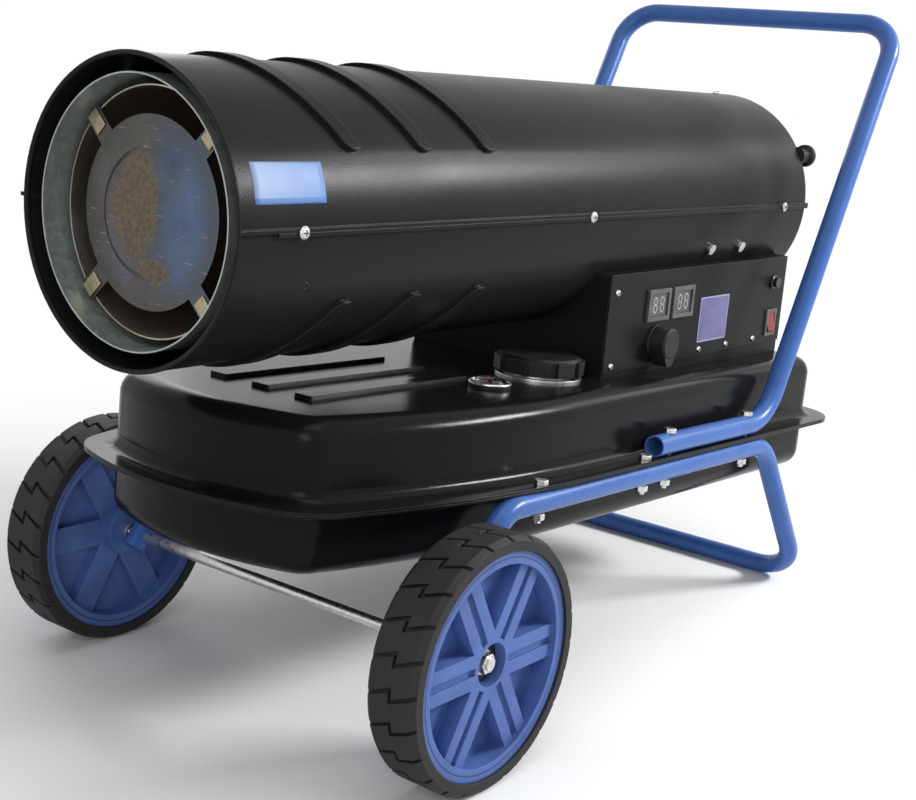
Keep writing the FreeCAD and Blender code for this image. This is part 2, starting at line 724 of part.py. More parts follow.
def control_box():
    """Folded box between the tank and the casing with a cover on each side."""
    skin = dim.panel_gauge
    low = dim.tank_top - 12
    high = dim.box_top - skin
    front = dim.box_front
    rear = dim.box_rear
    half = dim.box_half
    rail = dim.panel_foot + 11
    outer = block("BoxOuter", (front, -half, low), (rear, half, high))
    inner = block("BoxInner", (front + skin, -half - 1, low - 1), (rear - skin, half + 1, high + 1))
    shift = (dim.tank_top - dim.flange_mid).value * math.sin(math.radians(dim.tank_lean.value))
    floor = block("BoxFloor", (front + skin / 2 - shift, -half, dim.tank_top),
                  (rear - skin / 2 - shift, half, dim.tank_top + skin))
    below = block("TankRoom", (front - 30, -half - 30, dim.tank_top - 60),
                  (rear + 30, half + 30, dim.tank_top))
    folds = []
    for side in (-1, 1):
        edges = sorted((side * half, side * (half - skin)), key=lambda edge: edge.value)
        folds.append(block("BoxRail", (front, edges[0], low), (rear, edges[1], rail)))
        folds.append(block("BoxFold", (front, edges[0], low), (front + 30, edges[1], high)))
    holes = [cylinder("PickupRoom", 5 * dim.line_radius + 2, 40, (dim.fuel_rise, 0, low - skin)),
             shell_room("BoxShellRoom"), leaned("LeanedTankRoom", below)]
    for along, up in screw_spots():
        holes.append(cylinder("RailHole", dim.bolt_radius / 2 + dim.seat, 20, (along, -half - 10, up), "y"))
    blank = fuse("BoxBlank", cut("BoxWalls", outer, inner), leaned("LeanedFloor", floor), *folds)
    keep("control_box", cut("ControlBox", blank, *holes))
    side_covers()
    panel_fittings()
    box_contents()


def shell_room(name):
    return cylinder(name, dim.shell_radius + dim.seat, dim.shell_length,
                    (dim.shell_front, 0, dim.axis_height), "x")


def side_covers():
    skin = dim.panel_gauge
    half = dim.box_half
    face = panel_face()

    def plate(name, side):
        sides = sorted((side * half, side * face), key=lambda edge: edge.value)
        ledge = sorted((side * half, side * (half - 40)), key=lambda edge: edge.value)
        flat = block(name + "Flat", (dim.box_front, sides[0], dim.panel_foot),
                     (dim.box_rear, sides[1], dim.box_top))
        top = block(name + "Ledge", (dim.box_front, ledge[0], dim.box_top - skin),
                    (dim.box_rear, ledge[1], dim.box_top))
        return fuse(name + "Blank", flat, top)

    outside = -face - 5
    holes = [cylinder("ScrewHole", dim.bolt_radius / 2 + dim.seat, 20, (along, outside, up), "y")
             for along, up in screw_spots()]
    holes.append(cylinder("SpindleHole", dim.spindle_radius + dim.loose, 20,
                          (dim.knob_along, outside, dim.knob_up), "y"))
    holes.append(cylinder("FuseHole", fuse_stem() + dim.seat, 20,
                          (dim.fuse_along, outside, dim.fuse_up), "y"))
    grow = dim.seat
    holes.append(block("SwitchHole", (dim.switch_along - dim.switch_wide / 2 - grow, outside,
                                      dim.switch_up - dim.switch_tall / 2 - grow),
                       (dim.switch_along + dim.switch_wide / 2 + grow, -face + 15,
                        dim.switch_up + dim.switch_tall / 2 + grow)))
    for number in range(2):
        low, high = display_window(number)
        holes.append(block("DisplayHole", (low[0], outside, low[1]), (high[0], -face + 15, high[1])))
    holes.append(shell_room("PanelShellRoom"))
    keep("control_panel", cut("ControlPanel", plate("Panel", -1), *holes))
    gland = cylinder("GlandHole", gland_stem() + dim.seat, 20,
                     (dim.gland_along, face - 10, dim.gland_up), "y")
    keep("far_side_cover", cut("FarCover", plate("Cover", 1), gland, shell_room("CoverShellRoom")))

    screws = []
    for along, up in screw_spots():
        head = turned("PanelHead", [(0, 0), (dim.bolt_radius, 0), (dim.bolt_radius - 1, 2), (0, 2.4)],
                      (along, -face, up), "-y")
        shank = cylinder("PanelShank", dim.bolt_radius / 2, 10, (along, -face, up), "y")
        screws.append(fuse("PanelScrew", head, shank))
    keep("panel_screws", group("PanelScrews", screws))


def fuse_stem():
    return dim.fuse_radius - 3


def gland_stem():
    return dim.gland_radius - 3


def display_window(number):
    """Low and high corners (along, up) of one display's window."""
    left = dim.display_left + dim.display_pitch * number + dim.display_rim
    foot = dim.display_mid - dim.display_tall / 2 + dim.display_rim
    return ((left, foot), (left + dim.display_wide - 2 * dim.display_rim,
                           foot + dim.display_tall - 2 * dim.display_rim))


def panel_fittings():
    """Displays, thermostat knob, rocker switch, fuse holder and cord gland."""
    face = panel_face()
    rim = dim.display_rim
    frames = []
    windows = []
    for number in range(2):
        low, high = display_window(number)
        blank = block("FrameBlank", (low[0] - rim, -face - dim.display_proud, low[1] - rim),
                      (high[0] + rim, -face, high[1] + rim))
        hole = block("FrameHole", (low[0], -face - dim.display_proud - 1, low[1]),
                     (high[0], -face + 1, high[1]))
        frames.append(cut("DisplayFrame", blank, hole))
        windows.append(block("Window", (low[0] + dim.seat, -face - dim.display_proud / 2, low[1] + dim.seat),
                             (high[0] - dim.seat, -dim.box_half - dim.seat, high[1] - dim.seat)))
    keep("display_frames", group("DisplayFrames", frames))
    keep("display_windows", group("DisplayWindows", windows))
    first = display_window(0)[0]
    last = display_window(1)[1]
    keep("display_board", block("DisplayBoard", (first[0] - rim, -dim.box_half, first[1] - rim),
                                (last[0] + rim, -dim.box_half + 10, last[1] + rim)))

    bore = dim.spindle_radius + dim.running
    body = 4 * dim.spindle_radius
    socket = [(bore, 0), (body, 0), (body, 18), (0, 18), (0, 14), (bore, 14)]
    keep("thermostat_body", turned("Thermostat", socket, (dim.knob_along, -dim.box_half, dim.knob_up), "y"))
    deep = dim.knob_depth
    wide = dim.knob_radius
    tail = dim.panel_gauge + dim.loose + 13
    pin = dim.spindle_radius
    knob = turned("Knob", [(0, -tail), (pin, -tail), (pin, 0), (wide, 0), (wide, 3), (wide - 1, 4),
                           (wide - 1.5, deep - 2), (wide - 3.5, deep), (0, deep)],
                  (dim.knob_along, -face - dim.loose, dim.knob_up), "-y", KNOB_SPIN)
    nose = dim.knob_pointer
    add_ring(knob, [(0, 4 - wide), (nose - 7, -10), (nose - 2, -7), (nose, -4),
                    (nose, 4), (nose - 2, 7), (nose - 7, 10), (0, wide - 4)], 4, deep - 5, 1)
    keep("thermostat_knob", knob)
    rocker_switch(face)

    stem = fuse_stem()
    cap = dim.fuse_radius
    holder = [(0, -25), (stem, -25), (stem, 0), (cap, 0), (cap, 3), (cap - 2, 4), (cap - 2, dim.fuse_depth),
              (0, dim.fuse_depth)]
    keep("fuse_holder", turned("FuseHolder", holder, (dim.fuse_along, -face, dim.fuse_up), "-y"))
    stem = gland_stem()
    gland = dim.gland_radius
    keep("cord_gland", turned("CordGland", [(stem / 2, -6), (stem, -6), (stem, 0), (gland, 0), (gland, 6),
                                            (stem, dim.gland_length), (stem / 2, dim.gland_length)],
                              (dim.gland_along, face, dim.gland_up), "y"))


def rocker_switch(face):
    """Snap-in switch frame and the rocker that tips about a level axis, modelled in the off position."""
    along = dim.switch_along
    up = dim.switch_up
    wide = dim.switch_wide / 2
    tall = dim.switch_tall / 2
    lip = dim.switch_lip
    proud = dim.switch_proud
    wall = dim.switch_wall
    pivot = -face + dim.pivot_inset
    grip = wide - wall / 2
    flange = block("SwitchFlange", (along - wide - lip, -face - proud, up - tall - lip),
                   (along + wide + lip, -face, up + tall + lip))
    body = block("SwitchCase", (along - wide, -face, up - tall),
                 (along + wide, -face + dim.switch_depth, up + tall))
    well = block("SwitchWell", (along - wide + wall, -face - proud - 1, up - tall + wall),
                 (along + wide - wall, -face + dim.switch_depth / 2, up + tall - wall))
    socket = cylinder("SwitchSocket", dim.pivot_radius + dim.running, 2 * (grip + dim.loose),
                      (along - grip - dim.loose, pivot, up), "x")
    keep("switch_body", cut("SwitchBody", fuse("SwitchBlank", flange, body), well, socket))
    rocker = doc.addObject("PartDesign::Body", "Rocker")
    sketch = sketch_on(rocker, "YZ_Plane")
    reach = tall - 2.6
    outline(sketch, [(-5.5, reach), (-4, 0), (-5.5, -reach), (1, -reach), (4, -4), (4, 4), (1, reach)])
    pad = rocker.newObject("PartDesign::Pad", "RockerPad")
    pad.Profile = sketch
    pad.SideType = "Symmetric"
    bind(pad, "Length", 2 * (wide - wall - dim.loose))
    place(rocker, (along, pivot, up))
    rocker.Placement = Placement(rocker.Placement.Base, Rotation(Vector(1, 0, 0), -ROCKER_TILT))
    pin = cylinder("RockerPin", dim.pivot_radius, 2 * grip, (along - grip, pivot, up), "x")
    keep("power_rocker", fuse("PowerRocker", rocker, pin))


def box_contents():
    """What stands on the floor of the control box."""
    floor = dim.tank_top + dim.panel_gauge
    left = dim.box_front + dim.transformer_along
    near = -dim.transformer_near
    transformer = block("Transformer", (left, near, floor),
                        (left + dim.transformer_length, near + dim.transformer_width,
                         floor + dim.transformer_height))
    keep("ignition_transformer", leaned("LeanedTransformer", transformer))
    left = dim.box_front + dim.board_along
    near = -dim.board_near
    right = left + dim.board_length
    far = near + dim.board_width
    lift = floor + dim.board_lift
    top = lift + dim.board_gauge
    inset = dim.relay_inset
    board = block("Board", (left, near, lift), (right, far, top))
    relay = block("BoardRelay", (left + inset, near + inset, top),
                  (left + inset + dim.relay_length, near + inset + dim.relay_width, top + dim.relay_height))
    feet = [cylinder("BoardFoot", dim.board_lift / 2, dim.board_lift, (along, across, floor))
            for along in (left + dim.board_lift, right - dim.board_lift)
            for across in (near + dim.board_lift, far - dim.board_lift)]
    keep("control_board", leaned("LeanedBoard", fuse("ControlBoard", board, relay, *feet)))


def tank_outline(inset, height):
    """Boat-shaped plan: straight sides, tapering arcs to a bowed nose, rounded corners.

    Every stretch is convex, so an inset keeps the arc centres and shortens their radii.
    """
    half = dim.flange_half.value
    rear = dim.flange_rear.value - inset
    side = half - inset
    tail = dim.tail_corner.value
    taper = dim.taper_radius.value
    bow = dim.nose_radius.value
    corner = dim.nose_corner.value
    taper_at = Vector(dim.taper_start.value, taper - half, height)
    bow_at = Vector(dim.flange_front.value + bow, 0, height)
    apart = (bow_at - taper_at).Length
    near = taper - corner
    far = bow - corner
    share = (near ** 2 - far ** 2 + apart ** 2) / (2 * apart)
    offset = math.sqrt(near ** 2 - share ** 2)
    along = (bow_at - taper_at).normalize()
    across = Vector(along.y, -along.x, 0)
    found = [taper_at + along * share + across * (offset * sign) for sign in (-1, 1)]
    corner_at = min(found, key=lambda spot: spot.x)

    def on_arc(center, radius, spot):
        return center + (spot - center).normalize() * (radius - inset)

    taper_end = on_arc(taper_at, taper, corner_at)
    bow_end = on_arc(bow_at, bow, corner_at)
    corner_mid = corner_at + ((taper_end - corner_at) + (bow_end - corner_at)).normalize() * (corner - inset)
    side_front = Vector(taper_at.x, -side, height)
    taper_mid = on_arc(taper_at, taper, (side_front + taper_end) * 0.5)
    side_rear = Vector(dim.flange_rear.value - tail, -side, height)
    tail_at = Vector(dim.flange_rear.value - tail, tail - half, height)
    tail_mid = tail_at + Vector(1, -1, 0).normalize() * (tail - inset)
    tail_end = Vector(rear, tail - half, height)
    bow_tip = Vector(bow_at.x - bow + inset, 0, height)

    def far_side(spot):
        return Vector(spot.x, -spot.y, spot.z)

    near_edges = [Part.Arc(bow_end, corner_mid, taper_end), Part.Arc(taper_end, taper_mid, side_front),
                  Part.LineSegment(side_front, side_rear), Part.Arc(side_rear, tail_mid, tail_end)]
    far_edges = [Part.Arc(far_side(tail_end), far_side(tail_mid), far_side(side_rear)),
                 Part.LineSegment(far_side(side_rear), far_side(side_front)),
                 Part.Arc(far_side(side_front), far_side(taper_mid), far_side(taper_end)),
                 Part.Arc(far_side(taper_end), far_side(corner_mid), far_side(bow_end))]
    edges = [Part.Arc(far_side(bow_end), bow_tip, bow_end), *near_edges,
             Part.LineSegment(tail_end, far_side(tail_end)), *far_edges]
    return Part.Wire([edge.toShape() for edge in edges])


def tank_pan(inset, start, end, round_by):
    """A block of the tank's plan from one height to another, rounded at its end."""
    solid = Part.Face(tank_outline(inset, start)).extrude(Vector(0, 0, end - start))
    rims = [edge for edge in solid.Edges
            if abs(edge.BoundBox.ZMin - end) < 1e-3 and abs(edge.BoundBox.ZMax - end) < 1e-3]
    return solid.makeFillet(round_by, rims)


def middle_of(edge):
    return edge.valueAt((edge.FirstParameter + edge.LastParameter) / 2)


def tank_half(name, end, flange_end):
    """One deep-drawn pan with its joining flange."""
    skin = dim.sheet_gauge.value
    joint = dim.flange_mid.value
    lip = dim.flange_width.value
    sign = 1 if end > joint else -1
    pan = tank_pan(lip, joint, end, dim.tank_round.value)
    hollow = tank_pan(lip + skin, joint, end - sign * skin, dim.tank_round.value - skin)
    flange = Part.Face(tank_outline(0, joint)).extrude(Vector(0, 0, flange_end - joint))
    blank = pan.fuse(flange).removeSplitter()
    foot = tank_outline(lip, flange_end)
    root = [edge for edge in blank.Edges
            if edge.BoundBox.ZLength < 0.01 and foot.distToShape(Part.Vertex(middle_of(edge)))[0] < 0.01]
    item = doc.addObject("Part::Feature", name)
    item.Shape = blank.makeFillet(dim.tank_root.value, root).cut(hollow)
    item.Placement = Placement()
    return item


def tank():
    """Two drawn pans welded at a flange, with filler, gauge, pickup and drain."""
    top = dim.tank_top
    gauge = dim.flange_gauge
    upper = tank_half("TankUpperPan", top.value, dim.flange_mid.value + gauge.value)
    lower = tank_half("TankLowerPan", dim.tank_bottom.value, dim.flange_mid.value - gauge.value)
    below = top - 20
    openings = [cylinder("NeckHole", dim.neck_radius + dim.seat, 40, (dim.cap_along, -dim.cap_out, below)),
                cylinder("GaugeHole", gauge_stem() + dim.seat, 40, (dim.gauge_along, -dim.gauge_out, below)),
                cylinder("PickupHole", 1.6 * dim.line_radius + dim.seat, 40, (pickup_along(), 0, below))]
    blank = fuse("TankUpperBlank", upper, *pressings(top, 0))
    hollows = pressings(top, dim.sheet_gauge)
    upper = cut("TankUpper", blank, *bolt_holes(cart_bolt_spots()), *openings, *hollows)
    keep("tank_upper", leaned("LeanedTankUpper", upper))
    drain = cylinder("DrainHole", dim.plug_radius / 2 + dim.seat, 40,
                     (dim.plug_along, 0, dim.tank_bottom - 20))
    lower = cut("TankLower", lower, drain, *bolt_holes(cart_bolt_spots()))
    keep("tank_lower", leaned("LeanedTankLower", lower))
    head = prism("PlugHead", dim.plug_radius, 6, (dim.plug_along, 0, dim.tank_bottom - dim.seat), "-z")
    stem = cylinder("PlugStem", dim.plug_radius / 2, 14, (dim.plug_along, 0, dim.tank_bottom - 2))
    keep("drain_plug", leaned("LeanedDrainPlug", fuse("DrainPlug", head, stem)))
    filler(top)
    fuel_gauge(top)
    fuel_and_air_lines(top)


def pressings(top, skin):
    """Raised stiffening panels in the tank top; a skin above zero gives the hollow under them."""
    half = dim.emboss_width / 2 - skin
    front = dim.emboss_from + skin
    back = dim.emboss_from + dim.emboss_length - skin
    found = []
    for number in range(EMBOSSES):
        across = (number - (EMBOSSES - 1) / 2) * dim.emboss_pitch
        found.append(block("Pressing", (front, across - half, top - dim.sheet_gauge - skin),
                           (back, across + half, top + dim.emboss_rise - skin)))
    return found


def gauge_stem():
    return dim.gauge_radius - 7


def filler(top):
    at = (dim.cap_along, -dim.cap_out, top)
    outer = dim.neck_radius
    bore = outer - dim.neck_wall
    rise = dim.neck_height
    collar = dim.cap_radius - 1
    neck = [(bore, -8), (outer, -8), (outer, 0), (collar, 0), (collar, 2.5), (outer, 2.5), (outer, rise),
            (bore, rise)]
    keep("filler_neck", leaned("LeanedNeck", turned("FillerNeck", neck, at)))
    basket = bore - dim.loose
    deep = dim.strainer_depth
    rim = outer - 0.2
    strainer = turned("Strainer", [(0, -deep), (basket, -deep), (basket, rise), (rim, rise), (rim, rise + 1),
                                   (basket - 1, rise + 1), (basket - 1, 1 - deep), (0, 1 - deep)], at)
    cut_ring(strainer, bar(basket - 4, basket + 4, -6, 6), -14, deep - 26, 8)
    keep("fuel_strainer", leaned("LeanedStrainer", strainer))
    seal = rise + 1 + dim.seat
    gasket = turned("CapGasket", bar(basket - 6, rim, seal, seal + 2), at)
    keep("cap_gasket", leaned("LeanedGasket", gasket))
    ceiling = seal + 2 + dim.seat
    wide = dim.cap_radius
    low = dim.cap_lift
    high = low + dim.cap_height
    throat = outer + dim.loose
    cap = turned("FuelCap", [(throat, low), (wide - 3, low), (wide - 3, high - 3), (wide - 6, high),
                             (0, high), (0, ceiling), (throat, ceiling)], at)
    spread = math.tan(math.pi / CAP_GRIPS) * 0.72
    root = wide - 8
    lobe = [(root, -root * spread), (wide, -wide * spread), (wide, wide * spread), (root, root * spread)]
    add_ring(cap, lobe, low + 1, dim.cap_height - 4, CAP_GRIPS)
    keep("fuel_cap", leaned("LeanedCap", cap))


def fuel_gauge(top):
    """Float gauge: body through the tank top, clear dome, needle and the float arm below."""
    at = (dim.gauge_along, -dim.gauge_out, top)
    stem = gauge_stem()
    wide = dim.gauge_radius
    deep = 26
    rim = dim.gauge_rim
    body = [(0, -deep), (stem, -deep), (stem, 0), (wide, 0), (wide, rim), (0, rim)]
    keep("gauge_body", leaned("LeanedGauge", turned("GaugeBody", body, at)))
    glass = wide - 3
    inside = glass - 1.7
    crown = rim + dim.gauge_dome
    lens = [(inside, rim), (glass, rim), (glass, rim + 2), (glass - 6, crown), (0, crown), (0, crown - 1.5),
            (glass - 7, crown - 1.5), (inside, rim + 1)]
    keep("gauge_lens", leaned("LeanedLens", turned("GaugeLens", lens, at)))
    hub = cylinder("NeedleHub", 2.5, 1.6, (dim.gauge_along, -dim.gauge_out, top + rim + dim.loose))
    bar_item = block("NeedleBar", (dim.gauge_along - 11, -dim.gauge_out - 1, top + rim + dim.loose),
                     (dim.gauge_along, -dim.gauge_out + 1, top + rim + dim.loose + 0.8))
    keep("gauge_needle", leaned("LeanedNeedle", fuse("GaugeNeedle", hub, bar_item)))
    pivot = top - deep - 4 - dim.loose
    reach = dim.float_reach
    eye = cylinder("FloatEye", 4, 10, (dim.gauge_along, -dim.gauge_out - 5, pivot), "y")
    arm = block("FloatRod", (dim.gauge_along - reach, -dim.gauge_out - 1.5, pivot - 1.5),
                (dim.gauge_along, -dim.gauge_out + 1.5, pivot + 1.5))
    ball = cylinder("Float", dim.float_radius, 40, (dim.gauge_along - reach, -dim.gauge_out - 20, pivot), "y")
    keep("float_arm", leaned("LeanedFloat", fuse("FloatArm", eye, arm, ball)))


def pickup_along():
    """Where the pickup stands before the tank leans, so that its head ends up under the fuel line."""
    rise = (dim.tank_top + pickup_head() - dim.flange_mid).value
    return dim.fuel_rise - rise * math.tan(math.radians(dim.tank_lean.value))


def pickup_head():
    return 10


def fuel_and_air_lines(top):
    radius = dim.line_radius
    bend = dim.line_bend
    middle = dim.axis_height
    foot = dim.tank_bottom + 10 - top
    head = pickup_head()
    filter_wide = 4 * radius
    stem = 1.6 * radius
    flange = 5 * radius
    nipple = 2 * radius
    pickup = [(0, foot), (filter_wide, foot), (filter_wide, foot + 30), (stem, foot + 34), (stem, 0),
              (flange, 0), (flange, 4), (nipple, 4), (nipple, head), (0, head)]
    keep("fuel_pickup", leaned("LeanedPickup", turned("FuelPickup", pickup, (pickup_along(), 0, top))))
    tip = lean().multVec(Vector(pickup_along().value, 0, (top + head).value)).z
    wall = burner_wall()
    fuel = [(dim.fuel_rise, 0, tip + 2 * dim.seat), (dim.fuel_rise, 0, middle),
            (wall + 15 + dim.seat, 0, middle)]
    keep("fuel_line", bent_tube("FuelLine", fuel, [bend], radius, dim.line_wall))
    low = top + 28
    port = middle - dim.air_side
    side = dim.air_side
    air = [(pump_port(), side, middle - dim.pump_radius - 4 - dim.seat), (pump_port(), side, low),
           (dim.air_rise, side, low), (dim.air_rise, side, port), (wall - 2, side, port)]
    keep("air_line", bent_tube("AirLine", air, [bend, bend, bend], radius, dim.line_wall))


def handle_height():
    return dim.flange_mid + dim.flange_gauge + dim.tube_radius


def frame_height():
    return dim.flange_mid - dim.flange_gauge - dim.tube_radius


def cart_bolt_spots():
    """Where each cart bolt stands along X, and the height under its head."""
    flange = dim.flange_mid + dim.flange_gauge
    handle = handle_height() + dim.tube_radius
    return ((dim.bolt_one, flange), (dim.bolt_two, flange), (dim.bolt_three, handle), (dim.bolt_four, handle))


def bolt_holes(spots):
    """Drills for the bolts that stand at the given spots, on both sides."""
    low = frame_height() - 40
    return [cylinder("CartHole", dim.bolt_radius + dim.seat, 120, (along, side * dim.tube_half, low))
            for along, _ in spots for side in (-1, 1)]


def both_sides(points):
    """A path that runs along the near side and comes back along the far side."""
    near = [(along, -across, up) for along, across, up in points]
    far = [(along, across, up) for along, across, up in reversed(points)]
    return near + far


def cart():
    """Push handle on top of the tank flange, tubular frame with rear stand under it, axle in front."""
    half = dim.tube_half
    high = handle_height()
    low = frame_height()
    back, top = before_lean(dim.handle_back, dim.handle_high)
    route = both_sides([(dim.handle_end, half, high), (dim.handle_knee, half, high),
                        (as_size(back), half, top)])
    bends = [dim.tube_bend, dim.handle_corner, dim.handle_corner, dim.tube_bend]
    tube = bent_tube("HandleTube", route, bends, dim.tube_radius, dim.tube_wall)
    keep("handle", leaned("LeanedHandle", cut("Handle", tube, *bolt_holes(cart_bolt_spots()[2:]))))

    axle_along, axle_up = before_lean(dim.wheel_along, dim.wheel_radius)
    run = dim.frame_knee - axle_along
    fall = low - axle_up
    share = dim.frame_tail / math.hypot(run.value, fall.value)
    tail = (axle_along - run * share, half, axle_up - fall * share)
    foot_along, foot_up = before_lean(dim.stand_back, dim.tube_radius)
    route = both_sides([tail, (dim.frame_knee, half, low), (dim.frame_heel, half, low),
                        (foot_along, half, foot_up)])
    bends = [dim.knee_bend, dim.tube_bend, dim.stand_corner, dim.stand_corner, dim.tube_bend, dim.knee_bend]
    tube = bent_tube("FrameTube", route, bends, dim.tube_radius, dim.tube_wall)
    axle_hole = cylinder("AxleHole", dim.axle_radius + dim.seat, 2 * half + 100,
                         (dim.wheel_along, -half - 50, dim.wheel_radius), "y")
    drilled = cut("FrameDrilled", tube, *bolt_holes(cart_bolt_spots()))
    keep("cart_frame", cut("CartFrame", leaned("LeanedFrame", drilled), axle_hole))
    cart_fasteners(low)
    axle()


def cart_fasteners(low):
    size = dim.bolt_radius
    foot = low - dim.tube_radius
    bolts = []
    nuts = []
    for along, seat in cart_bolt_spots():
        for side in (-1, 1):
            across = side * dim.tube_half
            head = prism("CartHead", 1.8 * size, 1.3 * size, (along, across, seat + dim.seat))
            shank = cylinder("CartShank", size, seat - foot + 2.6 * size, (along, across, foot - 2.5 * size))
            bolts.append(fuse("CartBolt", head, shank))
            nut = prism("CartNut", 1.8 * size, 1.6 * size, (along, across, foot - dim.seat - 1.6 * size))
            eye = cylinder("CartEye", size + dim.seat, 4 * size, (along, across, foot - 3 * size))
            nuts.append(cut("CartNutCut", nut, eye))
    keep("cart_fasteners", leaned("LeanedCartFasteners", *bolts, *nuts))


def track_half():
    """Distance of a tyre's outer face from the middle of the heater."""
    return dim.tube_half + dim.tube_radius + dim.spacer_length + dim.wheel_width + 2 * dim.loose


def axle():
    size = dim.axle_radius
    hub = track_half() - dim.hub_recess
    tip = hub + dim.loose + dim.washer_gauge + dim.axle_nut + dim.axle_tip
    at = (dim.wheel_along, -tip, dim.wheel_radius)
    keep("axle", cylinder("Axle", size, 2 * tip, at, "y"))
    eye = size + dim.seat
    fittings = []
    frame_face = dim.tube_half + dim.tube_radius + dim.loose
    for side, axis in ((-1, "-y"), (1, "y")):
        def spot(across):
            return (dim.wheel_along, side * across, dim.wheel_radius)

        outer = hub + dim.loose
        seat = outer + dim.washer_gauge
        fittings.append(turned("Washer", bar(eye, 2.1 * size, 0, dim.washer_gauge), spot(outer), axis))
        nut = prism("AxleNutBlank", 1.7 * size, dim.axle_nut, spot(seat), axis)
        drill = cylinder("AxleNutEye", eye, dim.axle_nut + 2, spot(seat - 1), axis)
        fittings.append(cut("AxleNut", nut, drill))
        fittings.append(turned("Spacer", bar(eye, 1.8 * size, 0, dim.spacer_length), spot(frame_face), axis))
    keep("axle_fittings", group("AxleFittings", fittings))


def wheels():
    """Moulded rims with ridged spokes outside and flat ones inside, under solid rubber tyres."""
    at = (dim.wheel_along, -track_half(), dim.wheel_radius)
    width = dim.wheel_width
    rim = dim.wheel_radius - dim.tyre_depth
    ring = rim - dim.rim_ring
    hub = dim.hub_radius
    bore = dim.axle_radius + dim.running
    web = dim.web_inset
    back = web + dim.web_gauge
    face = dim.rim_inset
    recess = dim.hub_recess
    inner = width - face
    top = dim.spoke_inset
    collar = hub - dim.hub_wall
    section = [(bore, recess), (collar, recess), (collar, top), (hub, top), (hub, web), (ring, web),
               (ring, face), (rim, face), (rim, inner), (ring, inner), (ring, back), (hub, back),
               (hub, width), (bore, width)]
    wheel = turned("NearRim", section, at, "y")
    half = dim.spoke_width / 2
    ridge = dim.spoke_ridge
    root = hub - 3
    for low, high in ((-half, ridge - half), (half - ridge, half)):
        add_ring(wheel, bar(root, ring + 2, low, high), top, web - top + 1, SPOKES)
    valley = top + dim.spoke_valley
    add_ring(wheel, bar(root, ring + 2, ridge - half - 1, half - ridge + 1), valley, web - valley + 1, SPOKES)
    flat = dim.back_spoke / 2
    add_ring(wheel, bar(root, ring + 2, -flat, flat), back - 1, inner - dim.back_inset - back + 1, SPOKES)
    keep("near_rim", wheel)
    keep("far_rim", mirrored("FarRim", wheel))

    seat = rim + dim.seat / 2
    edge = dim.wheel_radius - 4
    tyre = turned("TyreBlank", [(seat, 0), (edge, 0), (dim.wheel_radius, 6), (dim.wheel_radius, width - 6),
                                (edge, width), (seat, width)], at, "y")
    tread = doc.addObject("Part::Feature", "TreadGrooves")
    tread.Shape = tread_grooves()
    tread.Placement = Placement()
    near = cut("NearTyre", tyre, tread)
    keep("near_tyre", near)
    keep("far_tyre", mirrored("FarTyre", near))


def tread_grooves():
    """Hooked grooves: a slanted cut from each shoulder, joined by a short jog in the middle of the tread."""
    radius = dim.wheel_radius.value
    width = dim.wheel_width.value
    gap = dim.tread_gap.value
    tall = 3 * gap
    hub = Vector(dim.wheel_along.value, 0, radius)
    middle = -track_half().value + width / 2
    step = 2 * math.pi * radius / TREAD_BLOCKS
    jog = 0.35 * step
    reach = 0.56 * width
    arms = []
    for side in (-1, 1):
        arm = Part.makeBox(gap, reach, tall, Vector(-gap / 2, 0 if side > 0 else -reach, 0))
        arm.rotate(Vector(), Vector(0, 0, 1), TREAD_SLANT)
        arm.translate(Vector(side * jog / 2, 0, 0))
        arms.append(arm)
    link = Part.makeBox(jog + gap, gap, tall, Vector(-jog / 2 - gap / 2, -gap / 2, 0))
    hook = arms[0].fuse(arms[1]).fuse(link)
    hook.translate(Vector(hub.x, middle, hub.z + radius - dim.tread_depth.value))
    grooves = []
    for number in range(TREAD_BLOCKS):
        groove = hook.copy()
        groove.rotate(hub, Vector(0, 1, 0), 360 * number / TREAD_BLOCKS)
        grooves.append(groove)
    return Part.makeCompound(grooves)


def seam_screws():
    """Pan-head screws along the seam lips on both sides."""
    size = dim.bolt_radius / 2
    face = dim.shell_radius + dim.lip_reach + dim.seat
    screws = []
    for side, axis, inward in ((-1, "-y", "y"), (1, "y", "-y")):
        for distance in seam_spots():
            at = (dim.shell_front + distance, side * face, dim.axis_height)
            dome = [(0, 0), (3 * size, 0), (3 * size, 1.5), (2 * size, 3.2), (0, 3.8)]
            head = turned("SeamHead", dome, at, axis)
            shank = cylinder("SeamShank", size, 14, at, inward)
            screws.append(fuse("SeamScrew", head, shank))
    keep("seam_screws", group("SeamScrews", screws))


def check_and_write():
    """Stops on any failed object, then writes one file for each piece."""
    doc.recompute()
    for item in doc.Objects:
        if "Invalid" in item.State or "Error" in item.State:
            raise RuntimeError(f"{item.Name} ({item.Label}) failed: {item.State}")
    for label, item in parts.items():
        if item.Shape.isNull() or not item.Shape.isValid() or not item.Shape.Solids:
            raise RuntimeError(f"{label} has no valid solid")
    os.makedirs("parts", exist_ok=True)
    for label, item in parts.items():
        item.Shape.exportStep(f"parts/{label}.step")
        print(label, len(item.Shape.Solids), round(item.Shape.Volume))


shell_halves()
seam_screws()
hot_end()
fan_and_motor()
rear_end()
control_box()
tank()
cart()
wheels()
check_and_write()
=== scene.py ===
import bmesh
import bpy
import json
import math
from mathutils import Matrix, Vector


